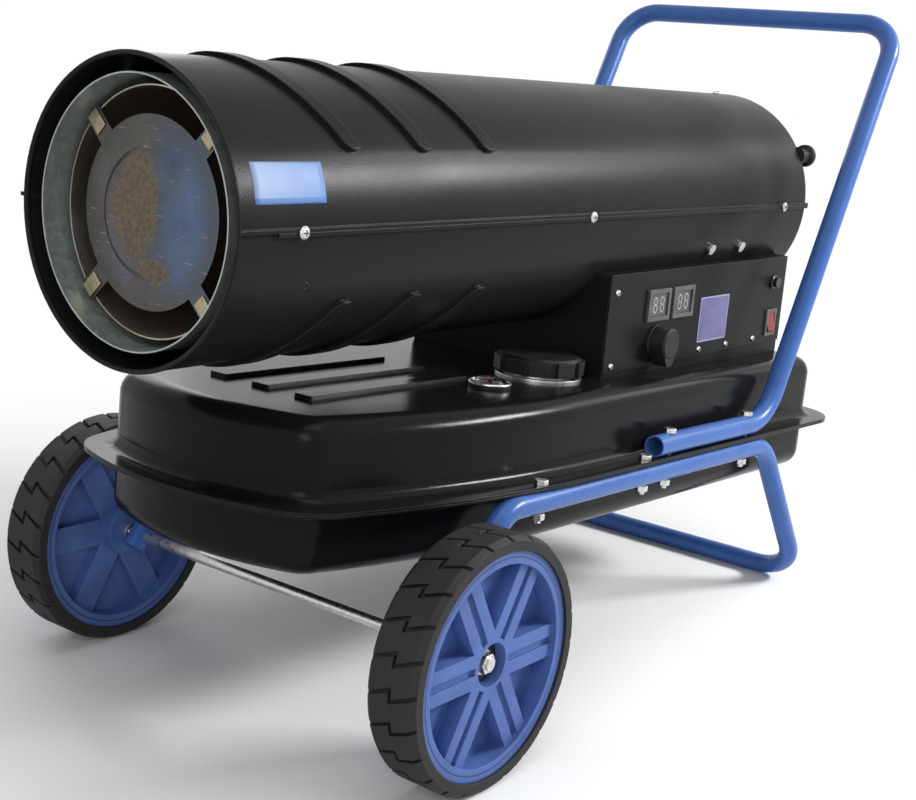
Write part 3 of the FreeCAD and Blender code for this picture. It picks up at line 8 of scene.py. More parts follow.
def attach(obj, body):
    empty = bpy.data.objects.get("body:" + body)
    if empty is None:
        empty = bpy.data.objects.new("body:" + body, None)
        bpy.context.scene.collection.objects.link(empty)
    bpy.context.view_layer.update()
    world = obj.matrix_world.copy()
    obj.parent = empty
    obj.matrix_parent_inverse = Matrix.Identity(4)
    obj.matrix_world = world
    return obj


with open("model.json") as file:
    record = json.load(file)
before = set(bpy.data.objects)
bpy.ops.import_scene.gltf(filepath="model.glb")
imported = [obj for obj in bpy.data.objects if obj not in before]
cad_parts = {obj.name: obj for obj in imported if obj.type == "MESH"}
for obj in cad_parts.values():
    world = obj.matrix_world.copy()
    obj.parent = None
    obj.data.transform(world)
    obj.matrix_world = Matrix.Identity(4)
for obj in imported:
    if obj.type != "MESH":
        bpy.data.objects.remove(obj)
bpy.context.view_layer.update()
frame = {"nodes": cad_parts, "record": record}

scene = bpy.context.scene
nodes = frame["nodes"]
casing = {"radius": 0.1385, "axis": 0.514}
wheel = {"along": -0.358, "up": 0.125, "groove": 0.1045, "tread": (0.1205, 0.1215)}
tankLean = {"pivot": Vector((0.16, 0, 0.242)), "degrees": 1.8}
leanTurn = (Matrix.Translation(tankLean["pivot"]) @ Matrix.Rotation(math.radians(tankLean["degrees"]), 4, "Y")
            @ Matrix.Translation(-tankLean["pivot"]))
print("stage: frame loaded,", len(nodes), "pieces")


class Wire:
    def __init__(self, tree, socket=None):
        self.tree = tree
        self.socket = socket

    def node(self, kind, settings={}, inputs={}, out=0):
        made = self.tree.nodes.new(kind)
        for key, value in settings.items():
            if key == "stops":
                elements = made.color_ramp.elements
                while len(elements) < len(value):
                    elements.new(0.5)
                for element, (place, color) in zip(elements, value):
                    element.position = place
                    element.color = color if len(color) == 4 else (*color, 1)
            else:
                setattr(made, key, value)
        for key, value in inputs.items():
            self.feed(made.inputs[key], value)
        return Wire(self.tree, made.outputs[out])

    def feed(self, target, value):
        if isinstance(value, Wire):
            self.tree.links.new(value.socket, target)
        else:
            target.default_value = value

    def maths(self, operation, first, second=0.0):
        return self.node("ShaderNodeMath", {"operation": operation}, {0: first, 1: second})

    def __add__(self, other):
        return self.maths("ADD", self, other)

    def __sub__(self, other):
        return self.maths("SUBTRACT", self, other)

    def __rsub__(self, other):
        return self.maths("SUBTRACT", other, self)

    def __mul__(self, other):
        return self.maths("MULTIPLY", self, other)

    def __truediv__(self, other):
        return self.maths("DIVIDE", self, other)

    def __rtruediv__(self, other):
        return self.maths("DIVIDE", other, self)

    __radd__ = __add__
    __rmul__ = __mul__


def newFinish(name, color, rough, metal=0.0, **fixed):
    made = bpy.data.materials.new(name)
    made.use_nodes = True
    shader = made.node_tree.nodes["Principled BSDF"]
    shader.inputs["Base Color"].default_value = (*color, 1)
    shader.inputs["Roughness"].default_value = rough
    shader.inputs["Metallic"].default_value = metal
    for key, value in fixed.items():  # specularIorLevel -> Specular IOR Level
        words = "".join(" " + letter if letter.isupper() else letter for letter in key).title()
        shader.inputs[words.replace("Ior", "IOR")].default_value = value
    return made, shader, Wire(made.node_tree)


def place(wire):
    return wire.node("ShaderNodeTexCoord", {}, {}, "Object")


def noise(wire, scale, detail=3, rough=0.5, at=None):
    inputs = {"Vector": at or place(wire), "Scale": scale, "Detail": detail, "Roughness": rough}
    return wire.node("ShaderNodeTexNoise", {}, inputs, "Fac")


def spread(wire, value, low, high, fromLow=0.3, fromHigh=0.7):
    ends = {"From Min": fromLow, "From Max": fromHigh, "To Min": low, "To Max": high}
    return wire.node("ShaderNodeMapRange", {"clamp": True}, {"Value": value, **ends})


def blendColor(wire, share, first, second):
    return wire.node("ShaderNodeMix", {"data_type": "RGBA"},
                     {0: share, 6: first if isinstance(first, Wire) else (*first, 1),
                      7: second if isinstance(second, Wire) else (*second, 1)}, 2)


def softEdge(wire, radius):
    return wire.node("ShaderNodeBevel", {"samples": 6}, {"Radius": radius})


def blendVector(wire, share, first, second):
    return wire.node("ShaderNodeMix", {"data_type": "VECTOR"}, {0: share, 4: first, 5: second}, 1)


def bump(wire, shader, height, strength, distance, edge=None):
    inputs = {"Height": height, "Strength": strength, "Distance": distance}
    if edge:
        inputs["Normal"] = edge if isinstance(edge, Wire) else softEdge(wire, edge)
    wire.feed(shader.inputs["Normal"], wire.node("ShaderNodeBump", {}, inputs))


def edgeMask(wire, radius):  # 1 on edges, which are lightened both as wear and as a painted highlight; 0 on flats
    flat = wire.node("ShaderNodeNewGeometry", {}, {}, "Normal")
    bent = wire.node("ShaderNodeVectorMath", {"operation": "DOT_PRODUCT"},
                     {0: softEdge(wire, radius), 1: flat}, "Value")
    return spread(wire, 1 - bent, 0, 1, 0.02, 0.22)


def axisOf(wire, letter):
    return wire.node("ShaderNodeSeparateXYZ", {}, {0: place(wire)}, letter)


def distance(wire, first, second):  # from an axis, by the two offsets across it
    return wire.maths("SQRT", first * first + second * second)


def gapTo(wire, letter, level):
    return wire.maths("ABSOLUTE", axisOf(wire, letter) - level)


def overlay(wire, parts):  # greatest of several masks
    found = parts[0]
    for other in parts[1:]:
        found = wire.maths("MAXIMUM", found, other)
    return found


cameraSet = {  # focal length in pixels of a picture 916 wide
    "at": (-1.4446, -1.0186, 0.6639),
    "right": (0.60806583, -0.78975198, 0.08091827),
    "up": (0.12372426, 0.19495256, 0.9729778),
    "ahead": (0.78418637, 0.581623, -0.21625546),
    "focal": 1513.89,
    "width": 916,
    "sensor": 36,
}


def makeCamera(spec):
    lens = bpy.data.cameras.new("photoCamera")
    lens.sensor_fit = "HORIZONTAL"
    lens.sensor_width = spec["sensor"]
    lens.lens = spec["focal"] / spec["width"] * spec["sensor"]
    camera = bpy.data.objects.new("photoCamera", lens)
    scene.collection.objects.link(camera)
    axes = (Vector(spec["right"]), Vector(spec["up"]), -Vector(spec["ahead"]))
    camera.matrix_world = Matrix.Translation(spec["at"]) @ Matrix(axes).transposed().to_4x4()
    scene.camera = camera


makeCamera(cameraSet)
print("stage: camera")


studioSet = {
    "floor": (0.9, 0.9, 0.9),
    "reach": 9,
    "fade": (0.5, 1.3),  # metres from the middle at which the floor turns white
    "ambient": 0.36,
    "lamps": [  # name, place, aim, size, power
        ("keyRight", (1.58, -1.74, 1.53), (-0.2, 0, 0.5), (0.9, 0.3), 76),
        ("edgeRight", (2.7, -1.1, 1.7), (0, 0, 0.4), (1.0, 0.5), 5),
        ("softTop", (-0.7, -0.5, 2.7), (-0.1, 0, 0.4), (2.4, 1.6), 18),
        ("softFront", (-2.6, -1.3, 1.3), (-0.4, 0, 0.5), (1.2, 1.4), 20),
        ("softBack", (1.2, 2.8, 1.6), (0, 0, 0.4), (1.6, 1.2), 12),
    ],
}


def seenRays(tree):
    wire = Wire(tree)
    names = ("Is Camera Ray", "Is Glossy Ray", "Is Transmission Ray")
    return overlay(wire, [wire.node("ShaderNodeLightPath", {}, {}, name) for name in names])


def makeStudio(spec):
    world = bpy.data.worlds.new("studio")
    scene.world = world
    world.use_nodes = True
    tree = world.node_tree
    background = tree.nodes["Background"]
    background.inputs["Color"].default_value = (1, 1, 1, 1)
    Wire(tree).feed(background.inputs["Strength"], spec["ambient"] + seenRays(tree) * (1 - spec["ambient"]))

    mesh = bpy.data.meshes.new("studioFloor")
    reach = spec["reach"]
    corners = [(-reach, -reach, 0), (reach, -reach, 0), (reach, reach, 0), (-reach, reach, 0)]
    mesh.from_pydata(corners, [], [(0, 1, 2, 3)])
    floor = bpy.data.objects.new("studioFloor", mesh)
    scene.collection.objects.link(floor)
    made, shader, wire = newFinish("studioPaint", spec["floor"], 0.9, specularIorLevel=0.1)
    far = wire.node("ShaderNodeVectorMath", {"operation": "LENGTH"}, {0: place(wire)}, "Value")
    fade = spread(wire, far, 0, 1, *spec["fade"]) * seenRays(made.node_tree)
    white = wire.node("ShaderNodeEmission", {}, {"Color": (1, 1, 1, 1), "Strength": 1.0})
    paper = Wire(made.node_tree, shader.outputs[0])
    mixed = wire.node("ShaderNodeMixShader", {}, {0: fade, 1: paper, 2: white})
    wire.feed(made.node_tree.nodes["Material Output"].inputs["Surface"], mixed)
    mesh.materials.append(made)
    for name, at, aim, size, power in spec["lamps"]:
        light = bpy.data.lights.new(name, "AREA")
        light.shape = "RECTANGLE"
        light.size, light.size_y = size
        light.energy = power
        item = bpy.data.objects.new(name, light)
        scene.collection.objects.link(item)
        item.location = at
        item.rotation_euler = (Vector(aim) - Vector(at)).to_track_quat("-Z", "Y").to_euler()
    scene.view_settings.view_transform = "Standard"


makeStudio(studioSet)
print("stage: studio")


paintEdge = {"fold": 0.0012, "rib": 0.0042}  # how round folds and stamped ribs look


def blackPaint(name, ribbed=False):
    made, shader, wire = newFinish(name, (0.01, 0.01, 0.01), 0.33, specularIorLevel=0.07)
    cloud = noise(wire, 8, 4, 0.55)
    grain = noise(wire, 1700, 2, 0.6)
    wornAndSheen = edgeMask(wire, 0.0014) * spread(wire, noise(wire, 55, 3, 0.6), 0.35, 1)
    coat = blendColor(wire, spread(wire, grain, 0, 1), (0.007, 0.007, 0.0075), (0.017, 0.0165, 0.016))
    # wear and painted highlight: the edges are lightened towards pale grey
    wire.feed(shader.inputs["Base Color"], blendColor(wire, wornAndSheen * 0.6, coat, (0.1, 0.1, 0.098)))
    wire.feed(shader.inputs["Roughness"], spread(wire, cloud, 0.24, 0.31) + grain * 0.06 - wornAndSheen * 0.06)
    height = noise(wire, 640, 2, 0.5) + grain * 0.35
    soft = softEdge(wire, paintEdge["fold"])
    if ribbed:  # but not at the seam between the halves
        seam = spread(wire, gapTo(wire, "Z", casing["axis"]), 0, 1, 0.008, 0.02)
        soft = blendVector(wire, seam, soft, softEdge(wire, paintEdge["rib"]))
    bump(wire, shader, height, 0.22, 0.0005, soft)
    return made


def blackTank():
    made, shader, wire = newFinish("blackTank", (0.006, 0.006, 0.0065), 0.15, specularIorLevel=0.08)
    cloud = noise(wire, 6, 4, 0.55)
    grain = noise(wire, 1500, 2, 0.6)
    wornAndSheen = edgeMask(wire, 0.0015)
    coat = blendColor(wire, spread(wire, grain, 0, 1), (0.004, 0.004, 0.0045), (0.011, 0.0108, 0.0105))
    # wear and painted highlight: the edges are lightened towards grey
    wire.feed(shader.inputs["Base Color"], blendColor(wire, wornAndSheen * 0.5, coat, (0.07, 0.07, 0.07)))
    wire.feed(shader.inputs["Roughness"], spread(wire, cloud, 0.11, 0.17) + grain * 0.05)
    height = noise(wire, 430, 2, 0.5) + grain * 0.4
    top = spread(wire, axisOf(wire, "Z"), 0, 1, 0.3, 0.315)  # the pressed bars on top have rounder edges
    soft = blendVector(wire, top, softEdge(wire, 0.0015), softEdge(wire, 0.0045))
    bump(wire, shader, height, 0.14, 0.0005, soft)
    return made


def blueTube():
    made, shader, wire = newFinish("blueTube", (0.045, 0.118, 0.37), 0.3, specularIorLevel=0.22)
    cloud = noise(wire, 12, 4, 0.6)
    fine = noise(wire, 900, 2, 0.5)
    wornAndSheen = edgeMask(wire, 0.0008)
    coat = blendColor(wire, cloud, (0.036, 0.1, 0.32), (0.05, 0.134, 0.4))
    # wear and painted highlight: the edges are lightened towards pale blue
    wire.feed(shader.inputs["Base Color"], blendColor(wire, wornAndSheen * 0.5, coat, (0.16, 0.26, 0.52)))
    wire.feed(shader.inputs["Roughness"], spread(wire, cloud, 0.2, 0.3) + fine * 0.05)
    bump(wire, shader, noise(wire, 520, 2, 0.5) + fine * 0.3, 0.14, 0.0004, 0.0006)
    return made


def wheelRadius(wire):
    return distance(wire, axisOf(wire, "X") - wheel["along"], axisOf(wire, "Z") - wheel["up"])


def blueRim():
    made, shader, wire = newFinish("blueRim", (0.06, 0.12, 0.38), 0.48, specularIorLevel=0.25)
    cloud = noise(wire, 24, 4, 0.6)
    fine = noise(wire, 1300, 2, 0.5)
    groove = wire.maths("ABSOLUTE", wheelRadius(wire) - wheel["groove"])
    groove = spread(wire, groove, 1, 0, 0.0003, 0.0011)
    wornAndSheen = edgeMask(wire, 0.0012)
    coat = blendColor(wire, spread(wire, cloud, 0, 1), (0.056, 0.105, 0.3), (0.078, 0.142, 0.38))
    # wear and painted highlight: the edges are lightened towards pale blue
    coat = blendColor(wire, wornAndSheen * 0.45, coat, (0.15, 0.23, 0.52))
    # painted shade: the groove line is darkened almost to black in the colour, and also sunk by the bump
    wire.feed(shader.inputs["Base Color"], blendColor(wire, groove * 0.8, coat, (0.012, 0.024, 0.1)))
    wire.feed(shader.inputs["Roughness"], spread(wire, cloud, 0.4, 0.54) + fine * 0.06)
    bump(wire, shader, noise(wire, 480, 3, 0.6) - groove * 2, 0.16, 0.0005, 0.0014)
    return made


def tyreRubber():
    made, shader, wire = newFinish("tyreRubber", (0.014, 0.014, 0.014), 0.6, specularIorLevel=0.3)
    dust = noise(wire, 32, 5, 0.65)
    grain = noise(wire, 1300, 3, 0.6)
    radius = wheelRadius(wire)
    rings = wire.maths("SINE", radius * 3000) * spread(wire, radius, 1, 0, *wheel["tread"])
    wornAndSheen = edgeMask(wire, 0.0012)
    coat = blendColor(wire, spread(wire, dust, 0, 1), (0.009, 0.009, 0.0095), (0.02, 0.0195, 0.019))
    # wear and painted highlight: the edges are lightened towards grey
    wire.feed(shader.inputs["Base Color"], blendColor(wire, wornAndSheen * 0.6, coat, (0.045, 0.045, 0.045)))
    wire.feed(shader.inputs["Roughness"], spread(wire, dust, 0.55, 0.72))
    bump(wire, shader, grain * 0.8 + rings * 0.12, 0.35, 0.0006, 0.0016)
    return made


def metal(name, pale, dark, rough, scale=170, edge=0.0006):
    made, shader, wire = newFinish(name, pale, rough, 1.0)
    cloud = noise(wire, scale, 3, 0.6)
    fine = noise(wire, scale * 9, 2, 0.6)
    wornAndSheen = edgeMask(wire, edge)
    coat = blendColor(wire, spread(wire, cloud, 0, 1), dark, pale)
    # wear and painted highlight: the edges are lightened towards near white
    wire.feed(shader.inputs["Base Color"], blendColor(wire, wornAndSheen * 0.5, coat, (0.85, 0.84, 0.82)))
    wire.feed(shader.inputs["Roughness"], spread(wire, cloud, rough * 0.8, rough * 1.3) + fine * 0.06)
    bump(wire, shader, fine, 0.1, 0.0002, edge)
    return made


def galvanisedSheet():
    made, shader, wire = newFinish("galvanisedSheet", (0.36, 0.41, 0.38), 0.42, 0.7)
    cells = wire.node("ShaderNodeTexVoronoi", {}, {"Vector": place(wire), "Scale": 230}, "Color")
    shade = wire.node("ShaderNodeSeparateColor", {}, {"Color": cells})
    soot = spread(wire, noise(wire, 16, 4, 0.6), 0, 1, 0.42, 0.72)
    sheet = blendColor(wire, shade, (0.34, 0.39, 0.375), (0.41, 0.465, 0.44))
    wire.feed(shader.inputs["Base Color"], blendColor(wire, soot * 0.5, sheet, (0.2, 0.2, 0.17)))
    wire.feed(shader.inputs["Roughness"], spread(wire, shade, 0.34, 0.48, 0, 1) + soot * 0.12)
    bump(wire, shader, noise(wire, 900, 2, 0.5), 0.08, 0.0003, 0.0006)
    return made


def heatSteel():
    made, shader, wire = newFinish("heatSteel", (0.5, 0.46, 0.38), 0.36, 1.0)
    stain = noise(wire, 15, 5, 0.62)
    fine = noise(wire, 800, 3, 0.6)
    stops = [(0.3, (0.6, 0.58, 0.52)), (0.46, (0.48, 0.42, 0.33)),
             (0.58, (0.36, 0.31, 0.26)), (0.72, (0.4, 0.41, 0.48))]
    tint = wire.node("ShaderNodeValToRGB", {"stops": stops}, {"Fac": stain})
    wire.feed(shader.inputs["Base Color"], tint)
    wire.feed(shader.inputs["Roughness"], spread(wire, stain, 0.3, 0.5) + fine * 0.08)
    bump(wire, shader, fine, 0.12, 0.0003, 0.0006)
    return made


oxideSet = [((0.014, 0.004), (0.03, 0.05)), ((-0.012, -0.05), (0.019, 0.012))]  # middle and half size


def deflectorSteel():
    made, shader, wire = newFinish("deflectorSteel", (0.2, 0.2, 0.19), 0.3, 1.0)
    side = axisOf(wire, "Y")
    up = axisOf(wire, "Z") - casing["axis"]
    radius = distance(wire, side, up)
    drift = noise(wire, 26, 6, 0.7) - 0.5
    crumb = noise(wire, 210, 5, 0.72)
    haze = noise(wire, 18, 4, 0.6)
    cool = spread(wire, drift * 0.1 - side, 0, 1, -0.005, 0.055)  # blue oxide towards the near side
    violet = spread(wire, haze, 0, 1, 0.46, 0.66) * spread(wire, up + drift * 0.05, 1, 0, -0.03, 0.03)
    rim = spread(wire, radius + drift * 0.01, 0, 1, 0.062, 0.08)
    blots = []
    for (y, z), (wide, tall) in oxideSet:
        across, down = (side - y) / wide, (up - z) / tall
        blots.append(spread(wire, across * across + down * down + drift * 1.9, 1, 0, 0.75, 1.1))
    patch = overlay(wire, blots)
    flakes = spread(wire, crumb, 0, 1, 0.38, 0.64)
    streak = wire.node("ShaderNodeMapping", {}, {"Vector": place(wire), "Rotation": (0.7, 0, 0),
                                                 "Scale": (1, 40, 700)})
    scratch = spread(wire, noise(wire, 1, 2, 0.6, streak), 0, 1, 0.66, 0.74)
    sheet = blendColor(wire, spread(wire, haze, 0, 1), (0.06, 0.056, 0.056), (0.125, 0.118, 0.108))
    sheet = blendColor(wire, violet * 0.6, sheet, (0.085, 0.08, 0.15))
    sheet = blendColor(wire, cool * spread(wire, crumb, 0.55, 0.8), sheet, (0.085, 0.14, 0.26))
    sheet = blendColor(wire, rim * 0.7, sheet, (0.082, 0.084, 0.078))
    sheet = blendColor(wire, scratch * 0.4, sheet, (0.4, 0.42, 0.44))
    scale = blendColor(wire, flakes, (0.075, 0.055, 0.036), (0.15, 0.118, 0.078))
    wire.feed(shader.inputs["Base Color"], blendColor(wire, patch, sheet, scale))
    wire.feed(shader.inputs["Metallic"], 1 - patch * 0.85)
    wire.feed(shader.inputs["Roughness"], 0.26 + patch * 0.36 + rim * 0.08 + crumb * 0.08 - scratch * 0.06)
    bump(wire, shader, crumb * (patch * 0.9 + 0.1) + patch * 0.5, 0.35, 0.0008, 0.0008)
    return made


def moulded(name, dark, pale, rough, grain=900, edge=0.0006, depth=0.16, **fixed):
    made, shader, wire = newFinish(name, pale, rough, 0.0, **fixed)
    cloud = noise(wire, 48, 4, 0.6)
    fine = noise(wire, grain, 3, 0.6)
    wornAndSheen = edgeMask(wire, edge)
    lit = tuple(min(1, part * 1.8 + 0.02) for part in pale)
    coat = blendColor(wire, spread(wire, cloud, 0, 1), dark, pale)
    # wear and painted highlight: the edges are lightened towards the lit colour
    wire.feed(shader.inputs["Base Color"], blendColor(wire, wornAndSheen * 0.5, coat, lit))
    wire.feed(shader.inputs["Roughness"], spread(wire, cloud, rough * 0.85, rough * 1.12) + fine * 0.06)
    bump(wire, shader, fine, depth, 0.0003, edge)
    return made


def clearDome():
    made, shader, wire = newFinish("clearDome", (0.93, 0.95, 0.95), 0.06, transmissionWeight=1.0, ior=1.45)
    haze = noise(wire, 120, 3, 0.6)
    wire.feed(shader.inputs["Roughness"], spread(wire, haze, 0.04, 0.12))
    bump(wire, shader, haze, 0.05, 0.0003, 0.001)
    return made


def stickerFilm(spec):
    made, shader, wire = newFinish("stickerFilm", (0.2, 0.3, 0.52), 0.4, specularIorLevel=0.08)
    cloud = noise(wire, 45, 4, 0.6)
    fine = noise(wire, 700, 2, 0.5)
    band = spread(wire, axisOf(wire, "Z"), 1, 0, *spec["band"])
    tint = spread(wire, axisOf(wire, "X") + cloud * 0.03, 0, 1, *spec["tint"])
    film = blendColor(wire, tint, (0.26, 0.35, 0.54), (0.15, 0.25, 0.5))
    film = blendColor(wire, spread(wire, cloud, 0, 0.35), film, (0.34, 0.42, 0.58))
    wire.feed(shader.inputs["Base Color"], blendColor(wire, band * 0.85, film, (0.08, 0.18, 0.44)))
    wire.feed(shader.inputs["Roughness"], spread(wire, cloud, 0.34, 0.46))
    bump(wire, shader, fine + cloud * 2, 0.08, 0.0003)
    return made


def plateFilm(spec):
    made, shader, wire = newFinish("plateFilm", (0.1, 0.1, 0.24), 0.35, coatWeight=0.2)
    cloud = noise(wire, 60, 4, 0.6)
    fine = noise(wire, 1200, 2, 0.5)
    (x, _, z), (wide, tall), fade = spec["at"], spec["inner"], spec["fade"]
    sides = spread(wire, gapTo(wire, "X", x), 0, 1, wide, wide + fade)
    ends = spread(wire, gapTo(wire, "Z", z), 0, 1, tall, tall + fade)
    border = overlay(wire, [sides, ends])
    film = blendColor(wire, spread(wire, cloud, 0, 1), (0.07, 0.072, 0.19), (0.12, 0.115, 0.27))
    wire.feed(shader.inputs["Base Color"], blendColor(wire, border * 0.8, film, (0.3, 0.3, 0.42)))
    wire.feed(shader.inputs["Roughness"], spread(wire, cloud, 0.28, 0.42) + fine * 0.04)
    bump(wire, shader, fine - border * 1.5, 0.08, 0.0002)
    return made


def dialSheet(centre):
    made, shader, wire = newFinish("dialSheet", (0.55, 0.55, 0.53), 0.35, 0.8)
    radius = distance(wire, axisOf(wire, "X") - centre.x, axisOf(wire, "Y") - centre.y)
    rings = wire.maths("SINE", radius * 1500)
    fine = noise(wire, 800, 3, 0.6)
    wire.feed(shader.inputs["Base Color"], blendColor(wire, spread(wire, rings + fine, 0, 1, -0.2, 1.2),
                                                      (0.3, 0.3, 0.29), (0.68, 0.68, 0.66)))
    wire.feed(shader.inputs["Roughness"], spread(wire, fine, 0.28, 0.42))
    bump(wire, shader, rings, 0.5, 0.0006)
    return made


finishes = {
    "black_paint": blackPaint("boxPaint"),
    "tank_gloss": blackTank(),
    "blue_paint": blueTube(),
    "blue_plastic": blueRim(),
    "tyre_black": tyreRubber(),
    "zinc": metal("brightZinc", (0.72, 0.72, 0.7), (0.5, 0.5, 0.48), 0.28),
    "galvanised": galvanisedSheet(),
    "heat_steel": heatSteel(),
    "guard_wire": moulded("guardCoat", (0.008, 0.008, 0.008), (0.016, 0.016, 0.016), 0.36),
    "dark_metal": metal("darkCasting", (0.16, 0.16, 0.17), (0.09, 0.09, 0.1), 0.45, 90),
    "aluminium": metal("fanSheet", (0.66, 0.67, 0.68), (0.48, 0.49, 0.5), 0.34, 60),
    "brass": metal("turnedBrass", (0.76, 0.55, 0.25), (0.55, 0.38, 0.16), 0.3),
    "copper_line": metal("copperLine", (0.75, 0.42, 0.28), (0.5, 0.26, 0.16), 0.3),
    "ceramic": moulded("whiteCeramic", (0.7, 0.69, 0.65), (0.82, 0.81, 0.78), 0.22),
    "black_plastic": moulded("blackPlastic", (0.01, 0.01, 0.0105), (0.018, 0.018, 0.019), 0.42,
                              specularIorLevel=0.2),
    "red_plastic": moulded("redRocker", (0.17, 0.012, 0.014), (0.26, 0.026, 0.028), 0.22, 500, depth=0.05,
                            specularIorLevel=0.3),
    "silver_trim": moulded("silverTrim", (0.05, 0.052, 0.05), (0.1, 0.103, 0.1), 0.42, 1400, 0.0008,
                            specularIorLevel=0.3),
    "display_glass": moulded("displayWindow", (0.035, 0.038, 0.036), (0.06, 0.064, 0.06), 0.16, 700,
                             depth=0.04),
    "gauge_clear": clearDome(),
    "board_green": moulded("boardGreen", (0.02, 0.13, 0.05), (0.035, 0.18, 0.08), 0.34),
    "strainer_mesh": metal("strainerSheet", (0.6, 0.6, 0.6), (0.42, 0.42, 0.42), 0.34),
    "seal_rubber": moulded("sealRubber", (0.012, 0.012, 0.012), (0.024, 0.024, 0.024), 0.6),
    "float_white": moulded("floatMoulding", (0.6, 0.6, 0.56), (0.74, 0.74, 0.7), 0.5),
}
casingPaint = blackPaint("casingPaint", ribbed=True)
special = {
    "upper_shell": casingPaint,
    "lower_shell": casingPaint,
    "flame_deflector": deflectorSteel(),
    "deflector_clips": metal("goldZinc", (0.46, 0.39, 0.26), (0.3, 0.25, 0.16), 0.34),
    "fuse_holder": moulded("glossBlack", (0.008, 0.008, 0.008), (0.014, 0.014, 0.014), 0.16, 600, depth=0.04),
}
for entry in frame["record"]["subparts"]:
    item = nodes[entry["node"]]
    item.data.materials.clear()
    item.data.materials.append(special.get(entry["node"], finishes[entry["material_slot"]]))
print("stage: finishes on the frame")


def newPiece(name, points, faces, finish, slot, body="heater", smooth=True):
    mesh = bpy.data.meshes.new(name)
    mesh.from_pydata(points, [], faces)
    shape = bmesh.new()
    shape.from_mesh(mesh)
    bmesh.ops.recalc_face_normals(shape, faces=shape.faces)
    shape.to_mesh(mesh)
    shape.free()
    mesh.materials.append(finish)
    mesh.polygons.foreach_set("use_smooth", smooth if isinstance(smooth, list) else [smooth] * len(faces))
    item = bpy.data.objects.new(name, mesh)
    scene.collection.objects.link(item)
    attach(item, body)


def join(parts):  # several point and face lists as one
    points, faces = [], []
    for more, sides in parts:
        start = len(points)
        points += more
        faces += [tuple(start + spot for spot in side) for side in sides]
    return points, faces


def lathe(profile, turn, steps=64, closed=False):  # profile of (radius, height) about the turn's own Z
    points = [turn @ Vector((r * math.cos(a), r * math.sin(a), h))
              for a in (2 * math.pi * step / steps for step in range(steps)) for r, h in profile]
    count = len(profile)
    faces = []
    for step in range(steps):
        here, there = step * count, (step + 1) % steps * count
        for spot in range(count if closed else count - 1):
            after = (spot + 1) % count
            faces.append((here + spot, there + spot, there + after, here + after))
    if not closed:
        faces.append(tuple(step * count for step in range(steps))[::-1])
        faces.append(tuple(step * count + count - 1 for step in range(steps)))
    return points, faces


def plate(corners, turn, low, high):  # a flat outline given in the turn's own X and Y
    count = len(corners)
    points = [turn @ Vector((x, y, h)) for h in (low, high) for x, y in corners]
    faces = [tuple(range(count))[::-1], tuple(range(count, 2 * count))]
    faces += [(i, (i + 1) % count, count + (i + 1) % count, count + i) for i in range(count)]
    return points, faces


def frameAt(at, normal, up=(0, 0, 1)):  # own Z along the normal
    z = Vector(normal).normalized()
    x = Vector(up).cross(z).normalized()
    y = z.cross(x)
    return Matrix.Translation(at) @ Matrix((x, y, z)).transposed().to_4x4()


def onCasing(x, degrees, radius):
    angle = math.radians(degrees)
    return Vector((x, -radius * math.sin(angle), casing["axis"] + radius * math.cos(angle)))


hemSet = {"ring": 0.1372, "front": -0.5735, "bead": 0.0024, "sides": 12, "steps": 128}


def makeHem(spec):
    turn = frameAt((spec["front"], 0, casing["axis"]), (1, 0, 0))
    angles = [2 * math.pi * side / spec["sides"] for side in range(spec["sides"])]
    bead = [(spec["ring"] + spec["bead"] * math.cos(a), spec["bead"] * math.sin(a)) for a in angles]
    newPiece("frontHem", *lathe(bead, turn, spec["steps"], closed=True), casingPaint, "black_paint")


makeHem(hemSet)

stickerSet = {"along": (-0.5545, -0.4685), "angle": (65.3, 80.1), "lift": 0.00025, "steps": (12, 16),
              "band": (0.5425, 0.5432), "tint": (-0.53, -0.47)}


def makeSticker(spec):
    wide, tall = spec["steps"]
    (left, right), (top, foot) = spec["along"], spec["angle"]
    points, faces = [], []
    for level in (casing["radius"] + spec["lift"], casing["radius"] - spec["lift"]):
        for i in range(wide + 1):
            for j in range(tall + 1):
                along = left + (right - left) * i / wide
                points.append(onCasing(along, top + (foot - top) * j / tall, level))
    row, sheet = tall + 1, (wide + 1) * (tall + 1)
    for i in range(wide):
        for j in range(tall):
            spot = i * row + j
            faces.append((spot, spot + 1, spot + row + 1, spot + row))
            faces.append((sheet + spot, sheet + spot + row, sheet + spot + row + 1, sheet + spot + 1))
    smooth = [True] * len(faces)
    border = ([i * row for i in range(wide)] + [wide * row + j for j in range(tall)]
              + [i * row + tall for i in range(wide, 0, -1)] + list(range(tall, 0, -1)))
    for spot, after in zip(border, border[1:] + border[:1]):
        faces.append((spot, after, sheet + after, sheet + spot))
        smooth.append(False)
    newPiece("blankSticker", points, faces, stickerFilm(spec), "silver_trim", smooth=smooth)


makeSticker(stickerSet)

plateSet = {"at": (0.266, -0.13945, 0.377), "size": (0.0745, 0.057), "corner": 0.002, "thick": 0.0004,
            "fade": 0.0003, "inner": (0.0355, 0.0265)}  # half sizes inside the border


def rounded(width, height, corner, steps=5):
    found = []
    for turn, (sx, sy) in enumerate(((1, 1), (-1, 1), (-1, -1), (1, -1))):
        for step in range(steps + 1):
            angle = math.pi / 2 * (turn + step / steps)
            found.append((sx * (width / 2 - corner) + corner * math.cos(angle),
                          sy * (height / 2 - corner) + corner * math.sin(angle)))
    return found


def makePlate(spec):
    outline = rounded(*spec["size"], spec["corner"])
    turn = frameAt(spec["at"], (0, -1, 0))
    sheet = plate(outline, turn, 0, spec["thick"])
    newPiece("blankPlate", *sheet, plateFilm(spec), "silver_trim", smooth=False)


makePlate(plateSet)

